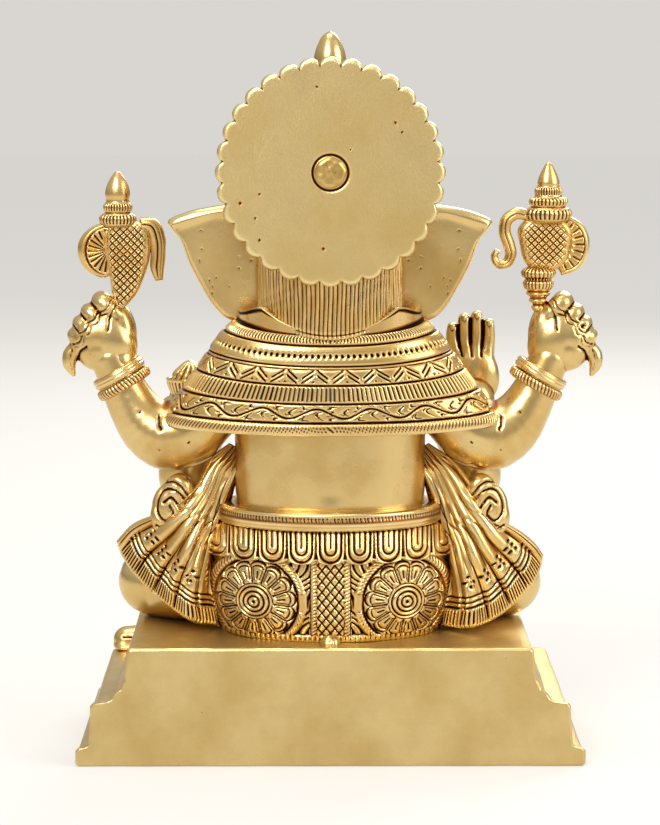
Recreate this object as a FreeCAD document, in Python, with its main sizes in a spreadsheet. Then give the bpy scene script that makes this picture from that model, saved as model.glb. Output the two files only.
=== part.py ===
import FreeCAD, Part

import os
import re

import Sketcher
from FreeCAD import Placement, Rotation, Vector

# A seated, four-armed, elephant-headed deity cast in brass, on a stepped pedestal.
# Millimetres, +Z up. The deity faces -Y, so its own left side is +X.
# The origin is the middle of the pedestal's foot, on the surface that it stands on.

# ---------------------------------------------------------------- driving dimensions
SIZES = {
    # pedestal: a hollow stepped casting with a flat plate for its back
    "plinth_width": 213, "plinth_depth": 135, "plinth_height": 7.5,
    "tier_width": 201.5, "tier_depth": 125, "tier_top": 27,
    "step_width": 181, "step_depth": 114, "step_top": 31.5,
    "seat_width": 173, "seat_depth": 106, "seat_top": 50, "seat_draft": 4,
    "pedestal_wall": 4, "back_plate_thick": 4, "plate_reveal": 1.2,
    # studs that hold the figure to the pedestal
    "stud_radius": 3, "stud_length": 26, "stud_spread": 66, "stud_clearance": 0.3, "stud_bite": 12,
    "washer_radius": 6.5, "washer_thick": 1.6, "nut_corner_radius": 5.8, "nut_height": 5,
    "boss_radius": 7.5, "boss_height": 15,
    # where the figure's upright axis stands, from the back of the pedestal
    "figure_setback": 51.5,
    # hips, cast hollow and open at the waist
    "hips_height": 47, "hips_half_width": 52, "hips_half_depth": 42, "hips_round": 48,
    "hips_middle": 22, "hips_wall": 7, "hips_floor": 4,
    "band_height": 13, "band_thick": 3.2, "belt_height": 8, "belt_half_width": 47, "belt_half_depth": 38.5,
    # torso, cast hollow and open at the waist
    "waist_half_width": 41, "waist_half_depth": 30, "back_rise": 43, "back_half_width": 41,
    "shoulder_rise": 68, "shoulder_half_width": 44, "shoulder_half_depth": 26,
    "neck_rise": 86, "neck_half_width": 27, "neck_half_depth": 19, "torso_wall": 5,
    "belly_rise": 20, "belly_forward": 22, "belly_half_width": 37, "belly_half_depth": 29,
    "belly_half_height": 31,
    # shawl over the shoulders
    "shawl_hem_rise": 42, "shawl_hem_half_width": 73, "shawl_hem_half_depth": 31,
    "shawl_mid_rise": 66, "shawl_mid_half_width": 62, "shawl_mid_half_depth": 30,
    "shawl_top_rise": 81, "shawl_top_half_width": 50, "shawl_top_half_depth": 26,
    "shawl_neck_rise": 91, "shawl_neck_half_width": 34, "shawl_neck_half_depth": 22,
    "shawl_front_gap": 56,
    # legs, folded on the seat, and feet
    "thigh_length": 40, "thigh_radius": 19, "thigh_splay": 18, "thigh_out": 50, "thigh_forward": 17,
    "knee_radius": 17.5, "knee_out": 75, "knee_forward": 25, "knee_rise": 15,
    "shin_length": 36, "shin_radius": 12.5, "shin_splay": 14, "shin_out": 44, "shin_forward": 40,
    "leg_rise": 18, "shin_rise": 11, "foot_length": 17, "foot_radius": 7, "foot_out": 15,
    "foot_forward": 48, "foot_rise": 7, "toe_radius": 2.6, "toe_reach": 15,
    # pleated sash ends that fan out beside the hips
    "fan_top_rise": 80, "fan_top_out": 43, "fan_edge_dip": 3.5, "fan_tip_out": 91.5,
    "fan_tip_rise": 37.5, "fan_tip_drop": 6, "fan_hem_swell": 5, "fan_foot_out": 46,
    "fan_root_out": 30, "fan_back": 12, "fan_thick": 8,
    # rear arms, held out and up; bangles round their wrists
    "joint_step": 0.5, "elbow_out": 68, "elbow_rise": 34, "elbow_radius": 15.8, "arm_back": 2,
    "forearm_length": 42, "forearm_lean": 38, "wrist_radius": 8.6,
    "upper_arm_length": 34, "upper_arm_lean": 52, "upper_arm_radius": 14.5,
    "bangle_wire": 2.3, "bangle_pitch": 4.4, "bangle_setback": 12,
    "pin_radius": 2.5, "pin_length": 22, "pin_clearance": 0.05, "pin_out": 32, "pin_rise": 53,
    # rear hands
    "palm_out": 97.5, "palm_rise": 79.5, "palm_half_width": 13.5, "palm_half_depth": 8.5,
    "palm_half_height": 15.5, "palm_lean": 28,
    "knuckle_radius": 5.2, "knuckle_out": 98.5, "knuckle_rise": 93, "knuckle_run": 4, "knuckle_drop": 4.5,
    "thumb_out": 112.5, "thumb_rise": 71, "thumb_radius": 3.4, "thumb_half_length": 7,
    # emblems in the rear hands, each with a turned finial
    "emblem_thick": 6, "grip_out": 91, "grip_rise": 87.5,
    "hatched_height": 40, "hatched_half_width": 9.5, "hatched_neck": 5.7, "hatched_shoulder": 16,
    "wing_reach": 9.5, "hook_out": 14, "hook_reach": 8.5,
    "barrel_height": 42, "barrel_half_width": 10, "barrel_neck": 6, "barrel_shoulder": 17,
    "crescent_reach": 10.5, "scroll_reach": 11,
    "finial_radius": 7.2, "finial_ring": 4.6, "finial_neck": 5.6, "finial_point": 11.5,
    "finial_tip_radius": 0.6,
    # front arms, bent forwards at the elbow
    "front_shoulder_out": 45, "front_elbow_out": 63, "front_elbow_forward": 16, "front_elbow_rise": 15,
    "front_arm_radius": 11.5, "front_upper_length": 46, "front_upper_lean": 22,
    "front_forearm_length": 38, "front_forearm_lean": 48, "front_wrist_radius": 7.5,
    "blessing_palm_out": 66, "blessing_palm_forward": 48, "blessing_palm_rise": 57,
    "blessing_half_width": 11, "blessing_half_depth": 5.5, "blessing_half_height": 17,
    "finger_radius": 2.7, "finger_length": 15, "finger_pitch": 5,
    "offering_palm_out": 62, "offering_palm_forward": 50, "offering_palm_rise": 46,
    "offering_half_width": 13, "offering_half_depth": 12, "offering_half_height": 5,
    "bowl_radius": 10, "bowl_height": 4.5, "sweet_radius": 8,
    "loop_out": 67, "loop_rise": 52, "loop_back": 10, "loop_half_width": 12, "loop_half_depth": 7,
    "loop_half_height": 14, "lug_width": 7, "lug_height": 4.5, "lug_back": 44, "lug_length": 12,
    # head, trunk, tusks and ears
    "skull_rise": 116, "skull_forward": 6, "skull_half_width": 31, "skull_half_depth": 29,
    "skull_half_height": 30, "spigot_radius": 9, "spigot_length": 14, "neck_radius": 17, "neck_height": 12,
    "trunk_root_radius": 12, "trunk_mid_radius": 9.5, "trunk_tip_radius": 5.5,
    "trunk_root_rise": 111, "trunk_root_forward": 26, "trunk_knee_rise": 81,
    "trunk_knee_forward": 55, "trunk_low_rise": 49, "trunk_low_forward": 60, "trunk_tip_out": 27,
    "trunk_tip_rise": 37, "tusk_radius": 3.6, "tusk_length": 27, "tusk_out": 15, "tusk_rise": 105,
    "tusk_forward": 28, "tusk_lean": 62,
    "ear_root_out": 22, "ear_top_rise": 137, "ear_tip_out": 69, "ear_tip_rise": 127.5,
    "ear_foot_out": 45, "ear_foot_rise": 86, "ear_edge_swell": 1.8, "ear_thick": 5, "ear_back": 2,
    "hair_half_width": 30, "hair_half_depth": 28.6, "hair_foot_rise": 82, "hair_height": 38,
    # crown, finial and halo
    "crown_foot_rise": 135, "crown_radius": 25, "crown_height": 59, "crown_tier_height": 20,
    "crown_tier_inset": 5.5, "crown_top_radius": 6.6, "crown_back": -2,
    "crown_finial_radius": 6.9, "crown_finial_height": 14,
    "crown_pin_radius": 2.5, "crown_pin_length": 8,
    "halo_radius": 45.3, "halo_thick": 3.5, "halo_rise": 149.5, "halo_back": 29.6,
    "scallop_radius": 4.7, "scallop_inset": 2.1, "scallop_count": 32,
    "halo_pin_radius": 3.2, "halo_shoulder_radius": 5, "rivet_head_radius": 6.2, "rivet_head_height": 1.4,
    "rivet_depth": 18,
    # necklace, and the mouse on the pedestal's front ledge
    "necklace_radius": 32, "necklace_wire": 3.2, "necklace_rise": 70, "necklace_forward": 8,
    "necklace_tilt": 38,
    "mouse_out": 86, "mouse_forward": 68, "mouse_half_length": 13, "mouse_rump_radius": 6.5,
    "mouse_sink": 4, "mouse_head_radius": 5, "mouse_nose_radius": 2.8, "mouse_ear_radius": 2,
}
SEGMENTS = 6
FINGERS = 4

# heights and depths that many pieces share, written in the sheet's own names
SEAT = "seat_top"
WAIST = "(seat_top + hips_height)"
BACK = "(plinth_depth / 2)"
FIGURE = "(plinth_depth / 2 - figure_setback)"

doc = FreeCAD.newDocument("seated_deity")
sheet = doc.addObject("Spreadsheet::Sheet", "Sizes")
for row, (alias, size) in enumerate(SIZES.items(), start=1):
    sheet.set(f"A{row}", alias)
    sheet.set(f"B{row}", str(size))
    sheet.setAlias(f"B{row}", alias)
doc.recompute()

pieces = []


# ---------------------------------------------------------------- small tools
def named(expression):
    """The expression with each size written as a cell of the sheet."""
    return re.sub(r"[a-z]+(?:_[a-z]+)+", lambda found: "Sizes." + found.group(), str(expression))


def value(expression):
    """What an expression of sizes comes to."""
    return float(sheet.evalExpression(named(expression)))


def bind(item, **properties):
    """Binds properties of an object to expressions of sizes."""
    for name, expression in properties.items():
        item.setExpression(name, named(expression))


def place(item, at, axis=None, turn=None):
    """Puts an object at a point, turned about an axis; all are expressions, and turn is positive."""
    if axis is not None:
        item.Placement = Placement(Vector(), Rotation(Vector(*axis), value(turn)))
        item.setExpression("Placement.Rotation.Angle", named(turn))
    for letter, expression in zip("xyz", at):
        if str(expression) != "0":
            item.setExpression(f"Placement.Base.{letter}", named(expression))
    return item


def solid(kind, name, at, axis=None, turn=None, **properties):
    """A primitive of the Part workbench, such as a Box or an Ellipsoid."""
    item = doc.addObject("Part::" + kind, name)
    bind(item, **properties)
    return place(item, at, axis, turn)


def ellipsoid(name, at, across, deep, high, axis=None, turn=None):
    """An ellipsoid with its half sizes along X, Y and Z, before it is turned."""
    return solid("Ellipsoid", name, at, axis, turn, Radius1=high, Radius2=across, Radius3=deep)


def slab(name, low, high, depth_from=None, depth_to=None):
    """A block wider than the figure, between two heights, and between two depths if they are given."""
    deep = depth_from is not None
    start = depth_from if deep else "-plinth_width"
    return solid("Box", name, ("-plinth_width", start, low), Length="2 * plinth_width",
                 Width=f"({depth_to}) - ({start})" if deep else "2 * plinth_width",
                 Height=f"({high}) - ({low})")


def cut(name, base, *tools):
    """base with every tool taken away."""
    for number, tool in enumerate(tools, start=1):
        item = doc.addObject("Part::Cut", f"{name}_cut{number}")
        item.Base, item.Tool = base, tool
        base = item
    return base


def fuse(name, *shapes):
    """The shapes as one."""
    item = doc.addObject("Part::MultiFuse", name)
    item.Shapes = list(shapes)
    return item


def common(name, *shapes):
    """What the shapes share."""
    item = doc.addObject("Part::MultiCommon", name)
    item.Shapes = list(shapes)
    return item


def group(name, *shapes):
    """Separate solids kept as one sub-part."""
    item = doc.addObject("Part::Compound", name)
    item.Links = list(shapes)
    return item


def mirrored(name, source):
    """source on the deity's other side."""
    item = doc.addObject("Part::Mirroring", name)
    item.Source = source
    item.Normal = Vector(1, 0, 0)
    return item


def ellipse(name, height, across, deep, middle=FIGURE):
    """A level ellipse about the figure's axis; across is the larger half size."""
    item = doc.addObject("Part::Ellipse", name)
    bind(item, MajorRadius=across, MinorRadius=deep)
    return place(item, ("0", middle, height))


def stack(name, levels, middle=FIGURE):
    """A loft through level ellipses, each given as (height, half width, half depth)."""
    item = doc.addObject("Part::Loft", name)
    item.Sections = [ellipse(f"{name}_level{n}", *level, middle) for n, level in enumerate(levels)]
    item.Solid = True
    return item


def body(name, at=("0", "0", "0"), axis=None, turn=None):
    """An empty PartDesign body."""
    return place(doc.addObject("PartDesign::Body", name), at, axis, turn)


def bound(item, constraint, expression):
    """Adds a constraint whose size is bound to an expression."""
    added = item.addConstraint(constraint)
    item.setExpression(f"Constraints[{added}]", named(expression))


def hold(item, edge, end, across, up):
    """Holds one point of a sketch at its place; a distance to the left or below runs to the axis."""
    for way, axis, expression in (("DistanceX", -2, across), ("DistanceY", -1, up)):
        amount = value(expression)
        if abs(amount) < 1e-9:
            item.addConstraint(Sketcher.Constraint("PointOnObject", edge, end, axis))
        elif amount > 0:
            bound(item, Sketcher.Constraint(way, -1, 1, edge, end, amount), expression)
        else:
            bound(item, Sketcher.Constraint(way, edge, end, -1, 1, -amount), f"-({expression})")


def sketch(owner, name, role, corners, lift=None):
    """A closed outline on one of the body's own planes.

    A corner is (x, y), or (x, y, rise, side) where an arc leads to the next corner: rise is how
    far it stands off the straight line, and side is 1 for the left of the way round, else -1.
    """
    item = owner.newObject("Sketcher::SketchObject", name)
    plane = next(feature for feature in owner.Origin.OriginFeatures if feature.Role == role)
    item.AttachmentSupport = [(plane, "")]
    item.MapMode = "FlatFace"
    if lift is not None:
        item.setExpression("AttachmentOffset.Base.z", named(lift))
    points = [Vector(value(corner[0]), value(corner[1]), 0) for corner in corners]
    ends = []
    for number, corner in enumerate(corners):
        start, end = points[number], points[(number + 1) % len(corners)]
        if len(corner) == 2:
            item.addGeometry(Part.LineSegment(start, end), False)
            ends.append((1, 2))
            continue
        rise, side = value(corner[2]), corner[3]
        chord = end - start
        outward = Vector(-chord.y, chord.x, 0).normalize() * side
        crest = (start + end) / 2 + outward * rise
        # a sketch keeps its arcs anticlockwise, so one that swells to the left runs backwards
        turned = (end, crest, start) if side > 0 else (start, crest, end)
        item.addGeometry(Part.Arc(*turned), False)
        ends.append((2, 1) if side > 0 else (1, 2))
    for number, corner in enumerate(corners):
        following = (number + 1) % len(corners)
        item.addConstraint(Sketcher.Constraint(
            "Coincident", number, ends[number][1], following, ends[following][0]))
        hold(item, number, ends[number][0], corner[0], corner[1])
        if len(corner) > 2:
            across = f"({corners[following][0]} - ({corner[0]}))"
            up = f"({corners[following][1]} - ({corner[1]}))"
            radius = f"({across} ^ 2 + {up} ^ 2) / 8 / {corner[2]} + {corner[2]} / 2"
            bound(item, Sketcher.Constraint("Radius", number, value(radius)), radius)
    return item


def circle_sketch(owner, name, role, centre, radius, lift=None):
    """A circle on one of the body's own planes."""
    item = owner.newObject("Sketcher::SketchObject", name)
    plane = next(feature for feature in owner.Origin.OriginFeatures if feature.Role == role)
    item.AttachmentSupport = [(plane, "")]
    item.MapMode = "FlatFace"
    if lift is not None:
        item.setExpression("AttachmentOffset.Base.z", named(lift))
    middle = Vector(value(centre[0]), value(centre[1]), 0)
    item.addGeometry(Part.Circle(middle, Vector(0, 0, 1), value(radius)), False)
    hold(item, 0, 3, centre[0], centre[1])
    bound(item, Sketcher.Constraint("Radius", 0, value(radius)), radius)
    return item


def rectangle(left, right, near, far):
    """The corners of a rectangle."""
    return [(left, near), (right, near), (right, far), (left, far)]


def extrude(owner, kind, name, profile, length, reverse=False, draft=None):
    """A Pad or Pocket of a sketch."""
    item = owner.newObject("PartDesign::" + kind, name)
    item.Profile = profile
    item.Reversed = reverse
    bind(item, Length=length)
    if draft is not None:
        bind(item, TaperAngle=draft)
    doc.recompute()
    return item


def turned(owner, name, profile):
    """A sketch turned about the body's upright axis."""
    item = owner.newObject("PartDesign::Revolution", name)
    item.Profile = profile
    item.ReferenceAxis = (profile, ["V_Axis"])
    item.Angle = 360
    doc.recompute()
    return item


def keep(label, item):
    """Marks an object as a sub-part of the statue, under the name of its file."""
    item.Label = label
    pieces.append(item)
    return item


# ---------------------------------------------------------------- pedestal
def make_pedestal():
    """The hollow stepped casting, its back plate, and the studs that hold the figure down."""
    shell = body("pedestal_shell")
    inner_back = f"{BACK} - back_plate_thick"
    steps = [
        ("plinth", "plinth_width / 2", "plinth_depth", "plinth_height", None),
        ("tier", "tier_width / 2 - plate_reveal", "tier_depth", "tier_top", None),
        ("step", "step_width / 2 - plate_reveal", "step_depth", "step_top", None),
        ("seat", "seat_width / 2 - plate_reveal", "seat_depth", "seat_top", None),
    ]
    for name, half, depth, top, draft in steps:
        outline = rectangle(f"-({half})", half, f"{BACK} - {depth}", inner_back)
        extrude(shell, "Pad", name, sketch(shell, name + "_outline", "XY_Plane", outline), top, draft=draft)
    hollows = [
        ("tier_hollow", "tier_width / 2 - plate_reveal - pedestal_wall", "tier_depth", "tier_top - pedestal_wall"),
        ("seat_hollow", "seat_width / 2 - plate_reveal - pedestal_wall", "seat_depth", "seat_top - pedestal_wall"),
    ]
    for name, half, depth, top in hollows:
        outline = rectangle(f"-({half})", half, f"{BACK} - {depth} + pedestal_wall", inner_back)
        extrude(shell, "Pocket", name, sketch(shell, name + "_outline", "XY_Plane", outline), top, reverse=True)
    for name, way in (("left_stud_hole", "stud_spread / 2"), ("right_stud_hole", "-stud_spread / 2")):
        hole = circle_sketch(shell, name + "_circle", "XY_Plane", (way, FIGURE), "stud_radius + stud_clearance")
        extrude(shell, "Pocket", name, hole, "seat_top", reverse=True)
    keep("pedestal_casting", shell)

    plate = body("back_plate")
    right = [
        ("plinth_width / 2", "0"), ("plinth_width / 2", "plinth_height"),
        ("tier_width / 2", "plinth_height + plate_reveal"), ("tier_width / 2", "tier_top"),
        ("step_width / 2", "tier_top + plate_reveal"), ("step_width / 2", "step_top"),
        ("seat_width / 2", "step_top + seat_draft"), ("seat_width / 2 - plate_reveal", "seat_top"),
    ]
    left = [(f"-({across})", up) for across, up in reversed(right)]
    outline = sketch(plate, "back_plate_outline", "XZ_Plane", right + left, f"-{BACK}")
    extrude(plate, "Pad", "back_plate_pad", outline, "back_plate_thick")
    keep("pedestal_back_plate", plate)

    under = "seat_top - pedestal_wall"
    sides = (("left", "stud_spread / 2"), ("right", "-stud_spread / 2"))
    studs, washers, nuts = [], [], []
    for side, out in sides:
        hole = dict(at=(out, FIGURE, "0"), Radius="stud_radius", Height=WAIST)
        studs.append(solid("Cylinder", f"{side}_stud", (out, FIGURE, f"{SEAT} + stud_bite - stud_length"),
                           Radius="stud_radius", Height="stud_length"))
        disc = solid("Cylinder", f"{side}_washer_disc", (out, FIGURE, f"{under} - washer_thick"),
                     Radius="washer_radius", Height="washer_thick")
        bored = solid("Cylinder", f"{side}_washer_bore", (out, FIGURE, "0"),
                      Radius="stud_radius + stud_clearance", Height=WAIST)
        washers.append(cut(f"{side}_washer", disc, bored))
        hexagon = solid("Prism", f"{side}_hexagon", (out, FIGURE, f"{under} - washer_thick - nut_height"),
                        Circumradius="nut_corner_radius", Height="nut_height")
        hexagon.Polygon = 6
        tapped = solid("Cylinder", f"{side}_nut_thread", hole.pop("at"), **hole)
        nuts.append(cut(f"{side}_nut", hexagon, tapped))
    keep("mounting_studs", group("stud_pair", *studs))
    keep("stud_washers", group("washer_pair", *washers))
    keep("stud_nuts", group("nut_pair", *nuts))


# ---------------------------------------------------------------- lower body
def hips_outer(name, extra="0"):
    """The rounded form of the hips, grown by extra all round."""
    return ellipsoid(name, ("0", FIGURE, f"{SEAT} + hips_middle"), f"hips_half_width + {extra}",
                     f"hips_half_depth + {extra}", f"hips_round + {extra}")


def make_hips():
    """The hollow hips with their floor and stud bosses, the petal band and the belt."""
    outer = common("hips_form", hips_outer("hips_ball"), slab("hips_slab", SEAT, WAIST))
    cavity = common("hips_cavity", hips_outer("hips_core", "-hips_wall"),
                    slab("hips_core_slab", f"{SEAT} + hips_floor", f"{WAIST} + hips_floor"))
    bosses, threads = [], []
    for side, out in (("left", "stud_spread / 2"), ("right", "-stud_spread / 2")):
        bosses.append(solid("Cylinder", f"{side}_boss", (out, FIGURE, SEAT),
                            Radius="boss_radius", Height="boss_height"))
        threads.append(solid("Cylinder", f"{side}_thread", (out, FIGURE, f"{SEAT} - hips_floor"),
                             Radius="stud_radius", Height="stud_bite + hips_floor"))
    shell = cut("hips_shell", outer, cavity)
    joined = fuse("hips_with_bosses", shell, common("bosses_inside", fuse("boss_pair", *bosses), outer))
    keep("hips_casting", cut("hips_tapped", joined, *threads))

    rear = slab("rear_half", "0", "seat_top * 4", FIGURE, "plinth_depth")
    ring = common("band_ring", hips_outer("band_ball", "band_thick"),
                  slab("band_slab", f"{WAIST} - band_height", WAIST), rear)
    keep("petal_band", cut("petal_band", ring, outer))
    return outer, ring


def make_torso():
    """The hollow torso with its belly, and the belt round its foot."""
    levels = [
        (WAIST, "waist_half_width", "waist_half_depth"),
        (f"{WAIST} + back_rise", "back_half_width", "waist_half_depth"),
        (f"{WAIST} + shoulder_rise", "shoulder_half_width", "shoulder_half_depth"),
        (f"{WAIST} + neck_rise", "neck_half_width", "neck_half_depth"),
    ]
    chest = stack("chest", levels)
    above_waist = slab("above_waist", WAIST, f"{WAIST} + neck_rise")
    belly = common("belly", ellipsoid(
        "belly_ball", ("0", f"{FIGURE} - belly_forward", f"{WAIST} + belly_rise"),
        "belly_half_width", "belly_half_depth", "belly_half_height"), above_waist)
    outer = fuse("torso_form", chest, belly)
    core = stack("chest_core", [
        (WAIST, "waist_half_width - torso_wall", "waist_half_depth - torso_wall"),
        (f"{WAIST} + back_rise", "back_half_width - torso_wall", "waist_half_depth - torso_wall"),
        (f"{WAIST} + shoulder_rise - torso_wall", "neck_half_width", "neck_half_depth"),
    ])
    spigot_hole = solid("Cylinder", "spigot_hole", ("0", FIGURE, f"{WAIST} + neck_rise - spigot_length"),
                        Radius="spigot_radius + pin_clearance", Height="spigot_length * 2")
    pin_holes = shoulder_pins("pin_hole", "pin_radius + pin_clearance")
    keep("torso_casting", cut("torso", outer, core, spigot_hole, *pin_holes))

    belt_face = ellipse("belt_ellipse", WAIST, "belt_half_width", "belt_half_depth")
    belt = doc.addObject("Part::Extrusion", "belt_block")
    belt.Base = belt_face
    belt.Dir = Vector(0, 0, 1)
    belt.Solid = True
    bind(belt, LengthFwd="belt_height")
    keep("waist_belt", cut("waist_belt", belt, outer))
    return outer, belt


def shoulder_pins(name, radius):
    """The two level dowels that the rear arms hang on, or the bores for them."""
    at = ("pin_out", f"{FIGURE} + arm_back", f"{WAIST} + pin_rise")
    pin = solid("Cylinder", f"left_{name}", at, (0, 1, 0), "90", Radius=radius, Height="pin_length")
    return [pin, mirrored(f"right_{name}", pin)]


# ---------------------------------------------------------------- legs and drapery
def make_legs(hips, band):
    """The folded legs and the feet that rest on the seat, cut to the hips."""
    above_seat = slab("above_seat", SEAT, WAIST)
    thigh = solid("Ellipsoid", "thigh", ("thigh_out", f"{FIGURE} - thigh_forward", f"{SEAT} + leg_rise"),
                  (0, 0, -1), "thigh_splay", Radius1="thigh_radius", Radius2="thigh_length",
                  Radius3="thigh_radius")
    knee = solid("Sphere", "knee", ("knee_out", f"{FIGURE} - knee_forward", f"{SEAT} + knee_rise"),
                 Radius="knee_radius")
    shin = solid("Ellipsoid", "shin", ("shin_out", f"{FIGURE} - shin_forward", f"{SEAT} + shin_rise"),
                 (0, 0, 1), "shin_splay", Radius1="shin_radius", Radius2="shin_length",
                 Radius3="shin_radius")
    left_side = solid("Box", "left_side", ("0", "-plinth_width", "0"), Length="plinth_width",
                      Width="2 * plinth_width", Height=f"{WAIST}")
    form = common("leg_form", fuse("leg_limbs", thigh, knee, shin), above_seat, left_side)
    left = cut("left_leg", form, hips, band)
    keep("left_leg", left)
    keep("right_leg", mirrored("right_leg_form", left))

    sole = solid("Ellipsoid", "sole", ("foot_out", f"{FIGURE} - foot_forward", f"{SEAT} + foot_rise"),
                 Radius1="foot_radius", Radius2="foot_length", Radius3="foot_radius")
    toe = solid("Sphere", "great_toe", ("foot_out - toe_reach + toe_radius",
                f"{FIGURE} - foot_forward - toe_radius", f"{SEAT} + foot_rise + toe_radius"),
                Radius="toe_radius")
    foot = common("foot_form", fuse("foot_and_toe", sole, toe), above_seat, left_side)
    left_foot = cut("left_foot", foot, hips, form)
    keep("left_foot", left_foot)
    keep("right_foot", mirrored("right_foot_form", left_foot))
    return form


def make_drapery(hips, torso, belt, band, legs, arm):
    """The pleated ends of the sash beside the hips, and the fold that falls over each."""
    leaf = body("fan_body", ("0", f"{FIGURE} + fan_back", SEAT))
    corners = [
        ("fan_root_out", "0"), ("fan_foot_out", "0", "fan_hem_swell", -1),
        ("fan_tip_out", "fan_tip_rise - fan_tip_drop"),
        ("fan_tip_out", "fan_tip_rise", "fan_edge_dip", 1),
        ("fan_top_out", "fan_top_rise"), ("fan_root_out", "fan_top_rise"),
    ]
    extrude(leaf, "Pad", "fan_pad", sketch(leaf, "fan_outline", "XZ_Plane", corners), "fan_thick")
    left = cut("left_fan", leaf, hips, torso, belt, band, legs, arm)
    keep("left_sash_fan", left)
    keep("right_sash_fan", mirrored("right_fan", left))

    fold = ellipsoid("fold_ball", ("loop_out", f"{FIGURE} + loop_back", f"{SEAT} + loop_rise"),
                     "loop_half_width", "loop_half_depth", "loop_half_height")
    left_fold = cut("left_fold", fold, leaf, arm)
    keep("left_sash_fold", left_fold)
    keep("right_sash_fold", mirrored("right_fold", left_fold))

    lug = solid("Box", "lug_block", ("-lug_width / 2", f"{FIGURE} + lug_back - lug_length", SEAT),
                Length="lug_width", Width="lug_length", Height="lug_height")
    keep("rear_lug", cut("rear_lug", lug, hips))


def make_shawl(torso, arm_pair):
    """The shawl over the shoulders, open at the front."""
    levels = [
        (f"{WAIST} + shawl_hem_rise", "shawl_hem_half_width", "shawl_hem_half_depth"),
        (f"{WAIST} + shawl_mid_rise", "shawl_mid_half_width", "shawl_mid_half_depth"),
        (f"{WAIST} + shawl_top_rise", "shawl_top_half_width", "shawl_top_half_depth"),
        (f"{WAIST} + shawl_neck_rise", "shawl_neck_half_width", "shawl_neck_half_depth"),
    ]
    form = stack("shawl_form", levels)
    gap = solid("Box", "shawl_gap", ("-shawl_front_gap / 2", f"{FIGURE} - plinth_depth", WAIST),
                Length="shawl_front_gap", Width="plinth_depth", Height="plinth_width")
    return form, cut("shawl", form, *arm_pair, torso, gap)


# ---------------------------------------------------------------- rear arms and what they hold
def rear_arm_form():
    """The left rear arm as one solid: upper arm, elbow and forearm."""
    middle = f"{FIGURE} + arm_back"
    elbow = ("elbow_out", middle, f"{WAIST} + elbow_rise")
    ball = solid("Sphere", "rear_elbow", elbow, Radius="elbow_radius")
    fore = solid("Cone", "rear_forearm", elbow, (0, 1, 0), "forearm_lean", Radius1="elbow_radius - joint_step",
                 Radius2="wrist_radius", Height="forearm_length")
    upper = solid("Cylinder", "rear_upper_arm", elbow, (0, -1, 0), "upper_arm_lean",
                  Radius="upper_arm_radius", Height="upper_arm_length")
    return fuse("rear_arm_form", ball, fore, upper)


def make_rear_arms(form, torso):
    """The two rear arms on their dowels, with two bangles at each wrist."""
    pins = shoulder_pins("dowel", "pin_radius")
    keep("shoulder_pins", group("dowel_pair", *pins))
    left = cut("left_rear_arm", form, pins[0], torso)
    keep("left_rear_arm", left)
    keep("right_rear_arm", mirrored("right_rear_arm_form", left))

    rings = []
    for name, back in (("upper", "bangle_setback"), ("lower", "bangle_setback + bangle_pitch * 1.1")):
        along = f"(forearm_length - ({back}))"
        at = (f"elbow_out + {along} * sin(forearm_lean * 1deg)", f"{FIGURE} + arm_back",
              f"{WAIST} + elbow_rise + {along} * cos(forearm_lean * 1deg)")
        girth = f"elbow_radius - (elbow_radius - wrist_radius) * {along} / forearm_length"
        torus = solid("Torus", f"{name}_bangle_ring", at, (0, 1, 0), "forearm_lean",
                      Radius1=girth, Radius2="bangle_wire")
        ring = cut(f"left_{name}_bangle", torus, form)
        keep(f"left_{name}_bangle", ring)
        keep(f"right_{name}_bangle", mirrored(f"right_{name}_bangle_form", ring))
        rings.append(torus)
    return rings


def make_rear_hands(arm, bangles):
    """The closed rear hands: a palm, the knuckles stepping down and out, and the thumb."""
    middle = f"{FIGURE} + arm_back"
    palm = ellipsoid("rear_palm", ("palm_out", middle, f"{WAIST} + palm_rise"), "palm_half_width",
                     "palm_half_depth", "palm_half_height", (0, 1, 0), "palm_lean")
    parts = [palm]
    for number in range(FINGERS):
        parts.append(solid("Sphere", f"knuckle{number}", (
            f"knuckle_out + knuckle_run * {number}", middle,
            f"{WAIST} + knuckle_rise - knuckle_drop * {number}"), Radius="knuckle_radius"))
    parts.append(solid("Ellipsoid", "rear_thumb", ("thumb_out", middle, f"{WAIST} + thumb_rise"),
                       Radius1="thumb_half_length", Radius2="thumb_radius", Radius3="thumb_radius"))
    form = fuse("rear_hand_form", *parts)
    left = cut("left_rear_hand", form, arm, *bangles)
    keep("left_rear_hand", left)
    keep("right_rear_hand", mirrored("right_rear_hand_form", left))
    return form


def make_emblem(name, corners, out, height, hand):
    """A flat cast emblem, its foot in the hand, and the turned finial on top of it."""
    middle = f"{FIGURE} + arm_back"
    leaf = body(f"{name}_body", (out, f"{middle} + emblem_thick / 2", f"{WAIST} + grip_rise"))
    outline = sketch(leaf, f"{name}_outline", "XZ_Plane", corners)
    extrude(leaf, "Pad", f"{name}_pad", outline, "emblem_thick")
    keep(name, cut(f"{name}_trimmed", leaf, hand))

    foot = f"{WAIST} + grip_rise + {height}"
    ring = solid("Cylinder", f"{name}_ring", (out, middle, foot), Radius="finial_radius",
                 Height="finial_ring")
    neck = solid("Cylinder", f"{name}_neck", (out, middle, f"{foot} + finial_ring"),
                 Radius="finial_neck", Height="finial_ring")
    point = solid("Cone", f"{name}_point", (out, middle, f"{foot} + finial_ring * 2"),
                  Radius1="finial_neck", Radius2="finial_tip_radius", Height="finial_point")
    keep(f"{name}_finial", fuse(f"{name}_finial_form", ring, neck, point))


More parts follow.
